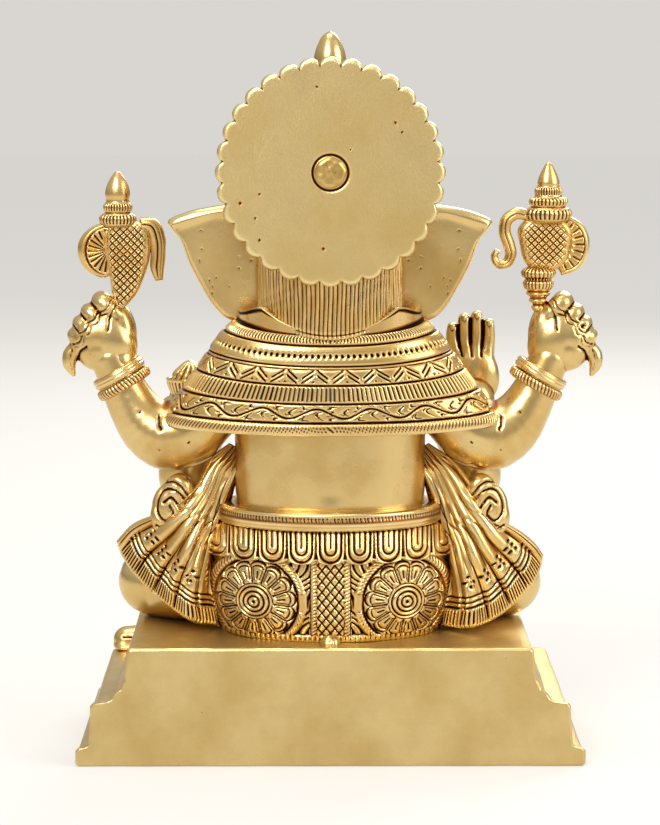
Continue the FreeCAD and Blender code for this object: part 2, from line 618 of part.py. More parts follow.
def make_emblems(hand):
    """The cross-hatched emblem of the left hand and the barrel-shaped one of the right."""
    hatched = [
        ("0", "0"), ("hatched_neck", "hatched_shoulder", "wing_reach", -1),
        ("hatched_half_width", "hatched_height"),
        ("-hatched_half_width", "hatched_height", "hook_reach", -1),
        ("-hook_out", "hatched_shoulder"), ("-hatched_neck", "hatched_shoulder"),
    ]
    make_emblem("hatched_emblem", hatched, "grip_out", "hatched_height", hand)
    barrel = [
        ("0", "0"), ("barrel_neck", "barrel_shoulder", "scroll_reach", -1),
        ("barrel_half_width", "barrel_height"),
        ("-barrel_half_width", "barrel_height", "crescent_reach", -1),
        ("-barrel_neck", "barrel_shoulder"),
    ]
    make_emblem("barrel_emblem", barrel, "-grip_out", "barrel_height",
                mirrored("right_hand_tool", hand))


# ---------------------------------------------------------------- front arms and what they hold
def make_front_arms(torso, shawl, rear_arm):
    """The two front arms, which reach forwards from under the shawl, with a bangle each."""
    middle = f"{FIGURE} - front_elbow_forward"
    elbow = ("front_elbow_out", middle, f"{WAIST} + front_elbow_rise")
    ball = solid("Sphere", "front_elbow", elbow, Radius="front_arm_radius")
    upper = solid("Cylinder", "front_upper_arm", elbow, (0, -1, 0), "front_upper_lean",
                  Radius="front_arm_radius - joint_step", Height="front_upper_length")
    fore = solid("Cone", "front_forearm", elbow, (1, 0, 0), "front_forearm_lean",
                 Radius1="front_arm_radius - joint_step", Radius2="front_wrist_radius",
                 Height="front_forearm_length")
    wrist = solid("Sphere", "front_wrist", (
        "front_elbow_out", f"{middle} - front_forearm_length * sin(front_forearm_lean * 1deg)",
        f"{WAIST} + front_elbow_rise + front_forearm_length * cos(front_forearm_lean * 1deg)"),
        Radius="front_wrist_radius + joint_step")
    form = fuse("front_arm_form", ball, upper, fore, wrist)
    left = cut("left_front_arm", form, torso, shawl, rear_arm)
    keep("left_front_arm", left)
    keep("right_front_arm", mirrored("right_front_arm_form", left))

    along = "(front_forearm_length - bangle_setback / 2)"
    girth = f"front_arm_radius - (front_arm_radius - front_wrist_radius) * {along} / front_forearm_length"
    at = ("front_elbow_out", f"{middle} - {along} * sin(front_forearm_lean * 1deg)",
          f"{WAIST} + front_elbow_rise + {along} * cos(front_forearm_lean * 1deg)")
    torus = solid("Torus", "front_bangle_ring", at, (1, 0, 0), "front_forearm_lean",
                  Radius1=girth, Radius2="bangle_wire")
    ring = cut("left_front_bangle", torus, form)
    keep("left_front_bangle", ring)
    keep("right_front_bangle", mirrored("right_front_bangle_form", ring))
    return form, torus


def make_front_hands(arm, bangle):
    """The raised right hand and the open left hand with its bowl and sweet."""
    right_arm = mirrored("right_arm_tool", arm)
    right_bangle = mirrored("right_bangle_tool", bangle)
    out, deep = "-blessing_palm_out", f"{FIGURE} - blessing_palm_forward"
    palm = ellipsoid("blessing_palm", (out, deep, f"{WAIST} + blessing_palm_rise"),
                     "blessing_half_width", "blessing_half_depth", "blessing_half_height")
    fingers = []
    for number in range(FINGERS):
        across = f"{out} + finger_pitch * {number - (FINGERS - 1) / 2}"
        base = f"{WAIST} + blessing_palm_rise + blessing_half_height / 2"
        shaft = solid("Cylinder", f"finger{number}", (across, deep, base), Radius="finger_radius",
                      Height="finger_length")
        tip = solid("Sphere", f"fingertip{number}", (across, deep, f"{base} + finger_length"),
                    Radius="finger_radius")
        fingers += [shaft, tip]
    thumb = solid("Ellipsoid", "blessing_thumb", (
        f"{out} + blessing_half_width", deep, f"{WAIST} + blessing_palm_rise + finger_pitch"),
        Radius1="finger_length / 2", Radius2="finger_radius", Radius3="finger_radius")
    hand = fuse("blessing_hand", palm, thumb, *fingers)
    keep("right_front_hand", cut("right_front_hand", hand, right_arm, right_bangle))

    out, deep = "offering_palm_out", f"{FIGURE} - offering_palm_forward"
    height = f"{WAIST} + offering_palm_rise"
    palm = ellipsoid("offering_palm", (out, deep, height), "offering_half_width",
                     "offering_half_depth", "offering_half_height")
    bowl = solid("Cone", "bowl_cone", (out, deep, height), Radius1="bowl_radius * 0.6",
                 Radius2="bowl_radius", Height="offering_half_height + bowl_height")
    sweet = solid("Sphere", "sweet_ball", (
        out, deep, f"{height} + offering_half_height + bowl_height"), Radius="sweet_radius")
    keep("left_front_hand", cut("left_front_hand", palm, arm, bangle, bowl))
    keep("offering_bowl", cut("offering_bowl_hollow", cut("bowl_trimmed", bowl, arm, bangle), sweet))
    keep("offering_sweet", sweet)


# ---------------------------------------------------------------- head and headdress
def make_head(torso):
    """The head, with its neck and a spigot that goes down into the torso."""
    deep = f"{FIGURE} - skull_forward"
    skull = ellipsoid("skull", ("0", deep, f"{WAIST} + skull_rise"), "skull_half_width",
                      "skull_half_depth", "skull_half_height")
    top = f"{WAIST} + neck_rise"
    neck = solid("Cylinder", "neck", ("0", FIGURE, top), Radius="neck_radius", Height="neck_height")
    spigot = solid("Cylinder", "spigot", ("0", FIGURE, f"{top} - spigot_length"),
                   Radius="spigot_radius", Height="spigot_length + neck_height")
    return fuse("head_form", cut("skull_trimmed", skull, torso), neck, spigot)


def make_trunk(head, torso):
    """The trunk down the front of the belly, its tip curling to the deity's left, and the tusks."""
    root = ("0", f"{FIGURE} - trunk_root_forward", f"{WAIST} + trunk_root_rise")
    knee = ("0", f"{FIGURE} - trunk_knee_forward", f"{WAIST} + trunk_knee_rise")
    low = ("0", f"{FIGURE} - trunk_low_forward", f"{WAIST} + trunk_low_rise")
    tip = ("trunk_tip_out", f"{FIGURE} - trunk_low_forward", f"{WAIST} + trunk_tip_rise")
    fore, drop = "(trunk_knee_forward - trunk_root_forward)", "(trunk_root_rise - trunk_knee_rise)"
    lower_fore, lower_drop = "(trunk_low_forward - trunk_knee_forward)", "(trunk_knee_rise - trunk_low_rise)"
    curl = "(trunk_low_rise - trunk_tip_rise)"
    parts = [
        solid("Sphere", "trunk_root", root, Radius="trunk_root_radius + joint_step"),
        solid("Cone", "trunk_upper", root, (1, 0, 0), f"180 - atan({fore} / {drop}) / 1deg",
              Radius1="trunk_root_radius", Radius2="trunk_mid_radius",
              Height=f"sqrt({fore} ^ 2 + {drop} ^ 2)"),
        solid("Sphere", "trunk_knee", knee, Radius="trunk_mid_radius + joint_step"),
        solid("Cone", "trunk_lower", knee, (1, 0, 0),
              f"180 - atan({lower_fore} / {lower_drop}) / 1deg",
              Radius1="trunk_mid_radius", Radius2="(trunk_mid_radius + trunk_tip_radius) / 2",
              Height=f"sqrt({lower_fore} ^ 2 + {lower_drop} ^ 2)"),
        solid("Sphere", "trunk_low", low, Radius="(trunk_mid_radius + trunk_tip_radius) / 2 + joint_step"),
        solid("Cone", "trunk_curl", low, (0, 1, 0), f"90 + atan({curl} / trunk_tip_out) / 1deg",
              Radius1="(trunk_mid_radius + trunk_tip_radius) / 2", Radius2="trunk_tip_radius",
              Height=f"sqrt(trunk_tip_out ^ 2 + {curl} ^ 2)"),
        solid("Sphere", "trunk_tip", tip, Radius="trunk_tip_radius + joint_step"),
    ]
    form = fuse("trunk_form", *parts)
    keep("trunk", cut("trunk_trimmed", form, head, torso))

    for name, out, length in (("left_tusk", "tusk_out", "tusk_length / 2"),
                              ("right_tusk", "-tusk_out", "tusk_length")):
        tusk = solid("Cone", f"{name}_cone", (
            out, f"{FIGURE} - tusk_forward", f"{WAIST} + tusk_rise"), (1, 0, 0), "tusk_lean + 45",
            Radius1="tusk_radius", Radius2="tusk_radius / 2", Height=length)
        keep(name, cut(name, tusk, head, form))
    return form


def make_crown(head):
    """The tiered crown over the head, its finial, and the round halo riveted behind it."""
    deep = f"{FIGURE} + crown_back"
    foot = f"{WAIST} + crown_foot_rise"
    tiers = body("crown_body", ("0", deep, foot))
    second, third = "crown_radius - crown_tier_inset", "crown_radius - crown_tier_inset * 2"
    corners = [
        ("0", "0"), ("crown_radius", "0"), ("crown_radius", "crown_tier_height"),
        (second, "crown_tier_height"), (second, "crown_tier_height * 1.7"),
        (third, "crown_tier_height * 1.7"), (third, "crown_tier_height * 2.3"),
        ("crown_top_radius", "crown_height"), ("0", "crown_height"),
    ]
    turned(tiers, "crown_turning", sketch(tiers, "crown_outline", "XZ_Plane", corners))

    top = f"{foot} + crown_height"
    finial = common("finial_bullet", ellipsoid(
        "finial_egg", ("0", deep, top), "crown_finial_radius", "crown_finial_radius",
        "crown_finial_height"), slab("above_crown", top, f"{top} + crown_finial_height * 2"))
    pin = solid("Cylinder", "finial_pin", ("0", deep, f"{top} - crown_pin_length"),
                Radius="crown_pin_radius", Height="crown_pin_length + 1")
    keep("crown_finial", fuse("crown_finial_form", finial, pin))

    back = f"{FIGURE} + halo_back"
    height = f"{WAIST} + halo_rise"
    disc = body("halo_body", ("0", back, height))
    round_pad = extrude(disc, "Pad", "halo_disc", circle_sketch(
        disc, "halo_circle", "XZ_Plane", ("0", "0"), "halo_radius"), "halo_thick", reverse=True)
    scallop_circle = circle_sketch(disc, "scallop_sketch", "XZ_Plane", ("0", "halo_radius - scallop_inset"),
                                   "scallop_radius")
    scallop = extrude(disc, "Pad", "scallop", scallop_circle, "halo_thick", reverse=True)
    pattern = disc.newObject("PartDesign::PolarPattern", "scallops")
    pattern.Originals = [scallop]
    pattern.Axis = (scallop_circle, ["N_Axis"])
    pattern.Angle = 360
    bind(pattern, Occurrences="scallop_count")
    disc.Tip = pattern
    doc.recompute()
    bore = circle_sketch(disc, "halo_bore_circle", "XZ_Plane", ("0", "0"), "halo_pin_radius + pin_clearance")
    hole = extrude(disc, "Pocket", "halo_bore", bore, "halo_thick")
    if hole.Shape.Volume > pattern.Shape.Volume - 1:
        raise RuntimeError("the halo's bore cut nothing")
    keep("halo", disc)

    pin = solid("Cylinder", "halo_pin", ("0", f"{back} + halo_thick + rivet_head_height", height),
                (1, 0, 0), "90", Radius="halo_pin_radius", Height="rivet_depth")
    rim = solid("Cylinder", "rivet_rim", ("0", f"{back} + halo_thick + rivet_head_height", height),
                (1, 0, 0), "90", Radius="rivet_head_radius", Height="rivet_head_height")
    collar = solid("Cylinder", "rivet_collar", ("0", back, height), (1, 0, 0), "90",
                   Radius="halo_shoulder_radius", Height="rivet_depth / 2")
    keep("halo_rivet", fuse("halo_rivet_form", pin, rim, cut("collar_trimmed", collar, tiers)))
    crown = cut("crown", tiers, head, pin, solid(
        "Cylinder", "finial_socket", ("0", deep, f"{foot} + crown_height - crown_pin_length"),
        Radius="crown_pin_radius", Height="crown_pin_length"))
    keep("crown", crown)
    return tiers


def make_ears(head, crown, hair, shawl):
    """The broad ears, standing out from the temples."""
    leaf = body("ear_body", ("0", f"{FIGURE} + ear_back", WAIST))
    corners = [
        ("ear_root_out", "ear_foot_rise"), ("ear_foot_out", "ear_foot_rise", "ear_edge_swell", -1),
        ("ear_tip_out", "ear_tip_rise"), ("ear_root_out", "ear_top_rise"),
    ]
    extrude(leaf, "Pad", "ear_pad", sketch(leaf, "ear_outline", "XZ_Plane", corners), "ear_thick")
    left = cut("left_ear", leaf, head, crown, hair, shawl)
    keep("left_ear", left)
    keep("right_ear", mirrored("right_ear_form", left))


def make_hair(head, torso, shawl, crown):
    """The combed panel of hair down the back of the head."""
    outline = ellipse("hair_ellipse", f"{WAIST} + hair_foot_rise", "hair_half_width", "hair_half_depth")
    column = doc.addObject("Part::Extrusion", "hair_column")
    column.Base = outline
    column.Dir = Vector(0, 0, 1)
    column.Solid = True
    bind(column, LengthFwd="hair_height")
    rear = slab("hair_rear", "0", "plinth_width * 2", FIGURE, "plinth_depth")
    form = common("hair_form", column, rear)
    keep("hair_panel", cut("hair_panel", form, head, torso, shawl, crown))
    return form


def make_necklace(torso, shawl, head, trunk, front_arms):
    """The chain of beads over the chest, drawn as one ring lying against it."""
    ring = solid("Torus", "necklace_ring", ("0", f"{FIGURE} - necklace_forward",
                 f"{WAIST} + necklace_rise"), (1, 0, 0), "necklace_tilt",
                 Radius1="necklace_radius", Radius2="necklace_wire")
    front = slab("necklace_front", "0", "plinth_width * 2", "-plinth_depth", f"{FIGURE} - necklace_forward")
    keep("necklace", cut("necklace", common("necklace_form", ring, front), torso, shawl, head,
                         trunk, *front_arms))


def make_mouse():
    """The mouse on the ledge at the front, facing the middle."""
    deep = f"{FIGURE} - mouse_forward"
    ledge = slab("above_ledge", "tier_top", WAIST)
    rear = "mouse_out + mouse_half_length / 2 - 1"
    rump = solid("Sphere", "mouse_rump", (rear, deep, "tier_top + mouse_sink"),
                 Radius="mouse_rump_radius")
    neck = solid("Cone", "mouse_neck", (rear, deep, "tier_top + mouse_sink"), (0, -1, 0), "90",
                 Radius1="mouse_rump_radius - joint_step * 2", Radius2="mouse_nose_radius - joint_step",
                 Height="1.45 * mouse_half_length")
    face = solid("Sphere", "mouse_face", (
        "mouse_out - mouse_half_length / 2 - 1", deep, "tier_top + mouse_sink + joint_step"),
        Radius="mouse_head_radius")
    nose = solid("Sphere", "mouse_nose", (
        "mouse_out - 0.95 * mouse_half_length - 1", deep, "tier_top + mouse_sink"), Radius="mouse_nose_radius")
    ears = [solid("Sphere", f"mouse_ear{side}", (
        "mouse_out - mouse_half_length / 2 + mouse_ear_radius / 2",
        f"{deep} + mouse_ear_radius * {side * 1.5}", "tier_top + mouse_sink + mouse_head_radius + 1"),
        Radius="mouse_ear_radius") for side in (-1, 1)]
    keep("mouse", common("mouse_form", fuse("mouse_parts", rump, neck, face, nose, *ears), ledge))


# ---------------------------------------------------------------- the whole statue
make_pedestal()
hips_form, band_form = make_hips()
torso_form, belt_form = make_torso()
arm_form = rear_arm_form()
arm_pair = [arm_form, mirrored("right_rear_arm_tool", arm_form)]
leg_form = make_legs(hips_form, band_form)
shawl_form, shawl_piece = make_shawl(torso_form, arm_pair)
head_form = make_head(torso_form)
make_drapery(hips_form, torso_form, belt_form, band_form, leg_form, arm_form)
bangle_rings = make_rear_arms(arm_form, torso_form)
make_emblems(make_rear_hands(arm_form, bangle_rings))
front_arm, front_bangle = make_front_arms(torso_form, shawl_form, arm_form)
make_front_hands(front_arm, front_bangle)
crown_form = make_crown(head_form)
hair_form = make_hair(head_form, torso_form, shawl_form, crown_form)
make_ears(head_form, crown_form, hair_form, shawl_form)
trunk_form = make_trunk(head_form, torso_form)
make_necklace(torso_form, shawl_form, head_form, trunk_form,
              [front_arm, mirrored("right_front_arm_tool", front_arm)])
make_mouse()
keep("shawl", cut("shawl_trimmed", shawl_piece, head_form))
keep("head", head_form)

doc.recompute()
for item in doc.Objects:
    if {"Invalid", "Error"} & set(item.State):
        raise RuntimeError(f"{item.Name} did not build: {item.State}")
for item in pieces:
    if item.Shape.isNull() or not item.Shape.isValid() or item.Shape.Volume < 1:
        raise RuntimeError(f"{item.Label} is not a sound solid")

os.makedirs("parts", exist_ok=True)
for item in pieces:
    item.Shape.exportStep(f"parts/{item.Label}.step")
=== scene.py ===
"""A seated, four-armed, elephant-headed deity in cast brass, on a stepped pedestal.

Every length is in millimetres until a mesh is written, which is in metres. The deity faces -Y and
its own left side is +X. Each sub-assembly is a class that models its pieces and dresses them.
"""

import logging
import math
from collections.abc import Callable, Sequence
from dataclasses import dataclass
from enum import Enum

import bmesh
import bpy
import numpy as np
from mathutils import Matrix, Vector


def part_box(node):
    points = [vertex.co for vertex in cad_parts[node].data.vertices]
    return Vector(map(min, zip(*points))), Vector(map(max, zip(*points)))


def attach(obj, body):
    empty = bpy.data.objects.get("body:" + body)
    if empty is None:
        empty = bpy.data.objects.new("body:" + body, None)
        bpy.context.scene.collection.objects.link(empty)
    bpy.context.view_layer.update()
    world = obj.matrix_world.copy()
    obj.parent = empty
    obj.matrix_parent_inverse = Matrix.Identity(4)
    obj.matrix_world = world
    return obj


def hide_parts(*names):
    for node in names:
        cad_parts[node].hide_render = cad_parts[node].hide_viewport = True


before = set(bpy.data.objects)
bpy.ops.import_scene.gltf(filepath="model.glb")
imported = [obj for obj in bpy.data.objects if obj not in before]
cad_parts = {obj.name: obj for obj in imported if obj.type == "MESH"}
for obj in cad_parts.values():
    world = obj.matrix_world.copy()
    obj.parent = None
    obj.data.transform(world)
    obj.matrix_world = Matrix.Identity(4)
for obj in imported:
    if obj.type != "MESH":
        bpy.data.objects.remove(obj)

MM = 0.001
Array = np.ndarray
Point = tuple[float, float, float]
log = logging.getLogger("deity")


# ------------------------------------------------------------------ finishes
def linear(code: str) -> tuple[float, float, float, float]:
    """Turns an sRGB hex colour to linear.

    Args:
        code: six hex digits, such as "D9BD78".

    Returns:
        Red, green, blue and alpha.
    """
    parts = [int(code[place : place + 2], 16) / 255 for place in (0, 2, 4)]
    red, green, blue = (p / 12.92 if p <= 0.04045 else ((p + 0.055) / 1.055) ** 2.4 for p in parts)
    return red, green, blue, 1.0


def add_node(
    tree: bpy.types.NodeTree, kind: str, inputs: dict[str | int, object] | None = None,
    stops: Sequence[tuple[float, str]] = (), **settings: object,
) -> bpy.types.Node:
    """Adds a node with its settings and links.

    Args:
        tree: the tree that gets the node.
        kind: the node's class name.
        inputs: what each input socket holds, a value or another node's output socket.
        stops: a colour ramp's places from 0 to 1, each with its hex colour.
        settings: the node's own properties.

    Returns:
        The node.
    """
    node = tree.nodes.new(kind)
    for key, setting in settings.items():
        setattr(node, key, setting)
    for key, source in (inputs or {}).items():
        if isinstance(source, bpy.types.NodeSocket):
            tree.links.new(source, node.inputs[key])
        else:
            node.inputs[key].default_value = source
    if stops:
        elements = node.color_ramp.elements
        for _ in stops[2:]:
            elements.new(0.5)
        for element, (place, code) in zip(elements, stops):
            element.position = place
            element.color = linear(code)
    return node


@dataclass(frozen=True)
class CastBrass:
    """Brass poured in sand, fettled, and rubbed back so that dark patina stays in the hollows.

    Attributes:
        name: the material's name.
        face: colour where the metal is rubbed clean.
        cloud: colour of the dull clouds in it.
        warm: colour where the hollows start.
        deep: colour at the bottom of the hollows.
        bright: colour of the rubbed edges, lighter than the clean metal, so partly rubbing and partly a
            painted highlight.
        roughness: of the clean metal.
        cloud_mm: how wide the clouds are.
        grain_mm: size of the casting's grain, drawn coarse enough to show.
        grain_height: height of the grain.
        pits: share of the surface that has fine brown pits, from 0 to 1.
    """

    name: str
    face: str
    cloud: str
    warm: str = "A8671F"
    deep: str = "2E1606"
    bright: str = "F3DFA6"
    roughness: float = 0.3
    cloud_mm: float = 22.0
    grain_mm: float = 0.9
    grain_height: float = 0.02
    pits: float = 0.25

    def build(self) -> bpy.types.Material:
        """Makes the material from its values."""
        material = bpy.data.materials.new(self.name)
        material.use_nodes = True
        tree = material.node_tree
        tree.nodes.clear()
        place = add_node(tree, "ShaderNodeTexCoord").outputs["Object"]
        clouds = add_node(tree, "ShaderNodeTexNoise", {
            "Vector": place, "Scale": 1 / (self.cloud_mm * MM), "Detail": 4.0, "Roughness": 0.55})
        base = add_node(tree, "ShaderNodeValToRGB", {"Fac": clouds.outputs["Fac"]},
                        stops=[(0.36, self.cloud), (0.6, self.face)])
        # small casting pits that hold polish and turn brown
        pits = add_node(tree, "ShaderNodeTexVoronoi", {
            "Vector": place, "Scale": 1 / (5.5 * MM), "Randomness": 1.0})
        where = add_node(tree, "ShaderNodeTexNoise", {
            "Vector": place, "Scale": 1 / (17.0 * MM), "Detail": 2.0})
        near = add_node(tree, "ShaderNodeMapRange", {
            "Value": pits.outputs["Distance"], "From Min": 0.03, "From Max": 0.06,
            "To Min": 1.0, "To Max": 0.0})
        chosen = add_node(tree, "ShaderNodeMapRange", {
            "Value": where.outputs["Fac"], "From Min": 0.62 - self.pits * 0.3,
            "From Max": 0.66 - self.pits * 0.3, "To Min": 0.0, "To Max": 0.85})
        pitted = add_node(tree, "ShaderNodeMath", {0: near.outputs[0], 1: chosen.outputs[0]},
                          operation="MULTIPLY")
        # a colour mix has its factor in socket 0 and its two colours in sockets 6 and 7
        spotted = add_node(tree, "ShaderNodeMix", {
            0: pitted.outputs[0], 6: base.outputs["Color"], 7: linear("5E3A14")}, data_type="RGBA")
        #         patina in the hollows, and proud edges lightened past clean metal, partly rubbing and partly
        #         a painted highlight, both measured on the mesh
        hollow = add_node(tree, "ShaderNodeAttribute", attribute_name="patina").outputs["Fac"]
        proud = add_node(tree, "ShaderNodeAttribute", attribute_name="wear_and_highlight").outputs["Fac"]
        stain = add_node(tree, "ShaderNodeValToRGB", {"Fac": hollow},
                         stops=[(0.08, self.face), (0.27, self.warm), (0.58, self.deep)])
        amount = add_node(tree, "ShaderNodeMapRange", {
            "Value": hollow, "From Min": 0.05, "From Max": 0.26})
        stained = add_node(tree, "ShaderNodeMix", {
            0: amount.outputs[0], 6: spotted.outputs[2], 7: stain.outputs["Color"]}, data_type="RGBA")
        # the bright colour on proud edges is a painted highlight as well as rubbed metal
        edge = add_node(tree, "ShaderNodeMath", {0: proud, 1: 0.55}, operation="MULTIPLY")
        rubbed = add_node(tree, "ShaderNodeMix", {
            0: edge.outputs[0], 6: stained.outputs[2], 7: linear(self.bright)}, data_type="RGBA")
        rough = add_node(tree, "ShaderNodeMapRange", {
            "Value": hollow, "From Min": 0.1, "From Max": 0.7,
            "To Min": self.roughness, "To Max": 0.62})
        dull = add_node(tree, "ShaderNodeMapRange", {
            "Value": clouds.outputs["Fac"], "From Min": 0.3, "From Max": 0.7,
            "To Min": 0.07, "To Max": -0.04})
        roughness = add_node(tree, "ShaderNodeMath", {0: rough.outputs[0], 1: dull.outputs[0]},
                             operation="ADD")
        grain = add_node(tree, "ShaderNodeTexNoise", {
            "Vector": place, "Scale": 1 / (self.grain_mm * MM), "Detail": 3.0})
        bump = add_node(tree, "ShaderNodeBump", {
            "Height": grain.outputs["Fac"], "Distance": self.grain_height * MM, "Strength": 1.0})
        shader = add_node(tree, "ShaderNodeBsdfPrincipled", {
            "Base Color": rubbed.outputs[2], "Metallic": 1.0,
            "Roughness": roughness.outputs[0], "Normal": bump.outputs["Normal"]})
        add_node(tree, "ShaderNodeOutputMaterial", {"Surface": shader.outputs[0]})
        return material


@dataclass(frozen=True)
class TurnedSteel:
    """Zinc-plated steel, as on the nuts, washers and studs inside the pedestal."""

    name: str = "zinc_plated_steel"
    face: str = "9A9CA0"
    roughness: float = 0.38

    def build(self) -> bpy.types.Material:
        """Makes the material from its values."""
        material = bpy.data.materials.new(self.name)
        material.use_nodes = True
        tree = material.node_tree
        tree.nodes.clear()
        place = add_node(tree, "ShaderNodeTexCoord").outputs["Object"]
        spangle = add_node(tree, "ShaderNodeTexNoise", {
            "Vector": place, "Scale": 1 / (1.6 * MM), "Detail": 3.0})
        colour = add_node(tree, "ShaderNodeValToRGB", {"Fac": spangle.outputs["Fac"]},
                          stops=[(0.3, "7F8286"), (0.65, self.face)])
        shader = add_node(tree, "ShaderNodeBsdfPrincipled", {
            "Base Color": colour.outputs["Color"], "Metallic": 1.0, "Roughness": self.roughness})
        add_node(tree, "ShaderNodeOutputMaterial", {"Surface": shader.outputs[0]})
        return material


class Finish(Enum):
    """The finishes on the statue."""

    SATIN = CastBrass("satin_sand_cast_brass", face="D9C086", cloud="C9AD70", roughness=0.37,
                      cloud_mm=30, grain_mm=0.85, grain_height=0.11, pits=0.02)
    POLISHED = CastBrass("polished_brass", face="DABD80", cloud="C8A564", roughness=0.27,
                         cloud_mm=26, grain_mm=1.6, grain_height=0.02, pits=0.06)
    CHASED = CastBrass("chased_antique_brass", face="E0C082", cloud="D0AA64", warm="A05A16", deep="231004",
                       roughness=0.27, cloud_mm=18, grain_mm=1.0, grain_height=0.02, pits=0.0)
    PINS = CastBrass("peened_brass", face="CDB070", cloud="B8944F", roughness=0.33,
                     cloud_mm=6, grain_mm=0.9, grain_height=0.05, pits=0.5)
    STEEL = TurnedSteel()


class Slot(str, Enum):
    """The record's material slots."""

    SATIN = "satin_brass"
    POLISHED = "polished_brass"
    CHASED = "chased_brass"
    PINS = "pin_brass"
    STEEL = "steel"


MATERIALS = {finish: finish.value.build() for finish in Finish}


# ------------------------------------------------------------------ shapes of lines and curves
def groove(distance: Array, width: float) -> Array:
    """A soft cut: 1 on its line and 0 a few widths away."""
    return np.exp(-((distance / width) ** 2))


def bead(distance: Array, half: float) -> Array:
    """A half-round ridge: 1 on its line and 0 from half its width out."""
    return np.sqrt(np.clip(1 - (distance / half) ** 2, 0, 1))


def ease(low: float, high: float, at: Array) -> Array:
    """A smooth step from 0 at low to 1 at high, or down again if high is below low."""
    part = np.clip((at - low) / (high - low), 0, 1)
    return part * part * (3 - 2 * part)


def repeat(at: Array, pitch: float) -> Array:
    """Distance from the nearest multiple of pitch, with its sign."""
    return (at / pitch + 0.5) % 1 * pitch - pitch / 2


def signed_power(value: Array, power: float) -> Array:
    """A value raised to a power, with its sign kept."""
    return np.sign(value) * np.abs(value) ** power


def around(turn: Array) -> Array:
    """The level direction at an angle from the back."""
    return np.stack([np.sin(turn), np.cos(turn), turn * 0], -1)


def curve(knots: Sequence[float], heights: Sequence[float], at: Array | float) -> Array:
    """A smooth curve through heights at knots.

    Args:
        knots: rising places.
        heights: what the curve is at each.
        at: where it is read.

    Returns:
        The curve there.
    """
    x, y = np.asarray(knots, float), np.asarray(heights, float)
    slope = np.gradient(y, x)
    place = np.clip(np.asarray(at, float), x[0], x[-1])
    i = np.clip(np.searchsorted(x, place, side="right") - 1, 0, len(x) - 2)
    span = x[i + 1] - x[i]
    t = (place - x[i]) / span
    return ((2 * t**3 - 3 * t**2 + 1) * y[i] + (t**3 - 2 * t**2 + t) * span * slope[i]
            + (3 * t**2 - 2 * t**3) * y[i + 1] + (t**3 - t**2) * span * slope[i + 1])


def through(points: Sequence[Sequence[float]], at: Array | float, closed: bool = False) -> Array:
    """A smooth line through points.

    Args:
        points: the points, each with the same number of coordinates.
        at: where the line is read, from 0 at its start to 1 at its end.
        closed: whether it comes back to its start.

    Returns:
        The points there, with the coordinates on the last axis.
    """
    given = np.asarray(points, float)
    if closed:
        given = np.vstack([given[-2:], given, given[:3]])
    steps = np.concatenate([[0], np.cumsum(np.linalg.norm(np.diff(given, axis=0), axis=1))])
    if closed:
        start, end = steps[2], steps[-3]
        where = start + np.asarray(at, float) * (end - start)
    else:
        where = np.asarray(at, float) * steps[-1]
    return np.stack([curve(steps, given[:, k], where) for k in range(given.shape[1])], axis=-1)


# ------------------------------------------------------------------ meshes
def deselect() -> None:
    """Leaves edit mode with nothing selected."""
    if bpy.context.mode != "OBJECT":
        bpy.ops.object.mode_set(mode="OBJECT")
    bpy.ops.object.select_all(action="DESELECT")


def pick(piece: bpy.types.Object) -> bpy.types.Object:
    """Makes one object the only one selected, and the active one."""
    deselect()
    piece.select_set(True)
    bpy.context.view_layer.objects.active = piece
    return piece


def read(piece: bpy.types.Object) -> Array:
    """The vertices of a mesh in millimetres."""
    flat = np.empty(len(piece.data.vertices) * 3, np.float32)
    piece.data.vertices.foreach_get("co", flat)
    return flat.reshape(-1, 3).astype(float) / MM


def write(piece: bpy.types.Object, points: Array) -> None:
    """Moves the vertices of a mesh to points in millimetres."""
    piece.data.vertices.foreach_set("co", (points * MM).astype(np.float32).ravel())
    piece.data.update()


def normals(piece: bpy.types.Object) -> Array:
    """The vertex normals of a mesh."""
    flat = np.empty(len(piece.data.vertices) * 3, np.float32)
    piece.data.vertex_normals.foreach_get("vector", flat)
    return flat.reshape(-1, 3).astype(float)


def weld(piece: bpy.types.Object, distance: float = 0.02, turn_out: bool = True) -> bpy.types.Object:
    """Merges doubled vertices and turns the faces outwards."""
    pick(piece)
    bpy.ops.object.mode_set(mode="EDIT")
    bpy.ops.mesh.select_all(action="SELECT")
    bpy.ops.mesh.remove_doubles(threshold=distance * MM)
    bpy.ops.mesh.dissolve_degenerate(threshold=distance * MM / 4)
    if turn_out:
        bpy.ops.mesh.normals_make_consistent(inside=False)
    bpy.ops.object.mode_set(mode="OBJECT")
    return piece


def slice_up(piece: bpy.types.Object, axis: int, places: Sequence[float]) -> None:
    """Cuts a mesh across one axis at places, so that its unevenness has points to move."""
    pick(piece)
    bpy.ops.object.mode_set(mode="EDIT")
    across = [float(k == axis) for k in range(3)]
    for at in places:
        bpy.ops.mesh.select_all(action="SELECT")
        bpy.ops.mesh.bisect(plane_co=[float(at) * MM * part for part in across], plane_no=across)
    bpy.ops.object.mode_set(mode="OBJECT")


def settle(piece: bpy.types.Object, level: float) -> None:
    """Flattens what is below a level onto it."""
    points = read(piece)
    points[:, 2] = np.maximum(points[:, 2], level)
    write(piece, points)


def join(pieces: Sequence[bpy.types.Object]) -> bpy.types.Object:
    """Joins objects into the first of them."""
    deselect()
    for piece in pieces:
        piece.select_set(True)
    bpy.context.view_layer.objects.active = pieces[0]
    if len(pieces) > 1:
        bpy.ops.object.join()
    return pieces[0]


def modify(piece: bpy.types.Object, kind: str, **settings: object) -> None:
    """Adds a modifier and applies it."""
    pick(piece)
    modifier = piece.modifiers.new(kind.lower(), kind)
    for key, setting in settings.items():
        setattr(modifier, key, setting)
    bpy.ops.object.modifier_apply(modifier=modifier.name)


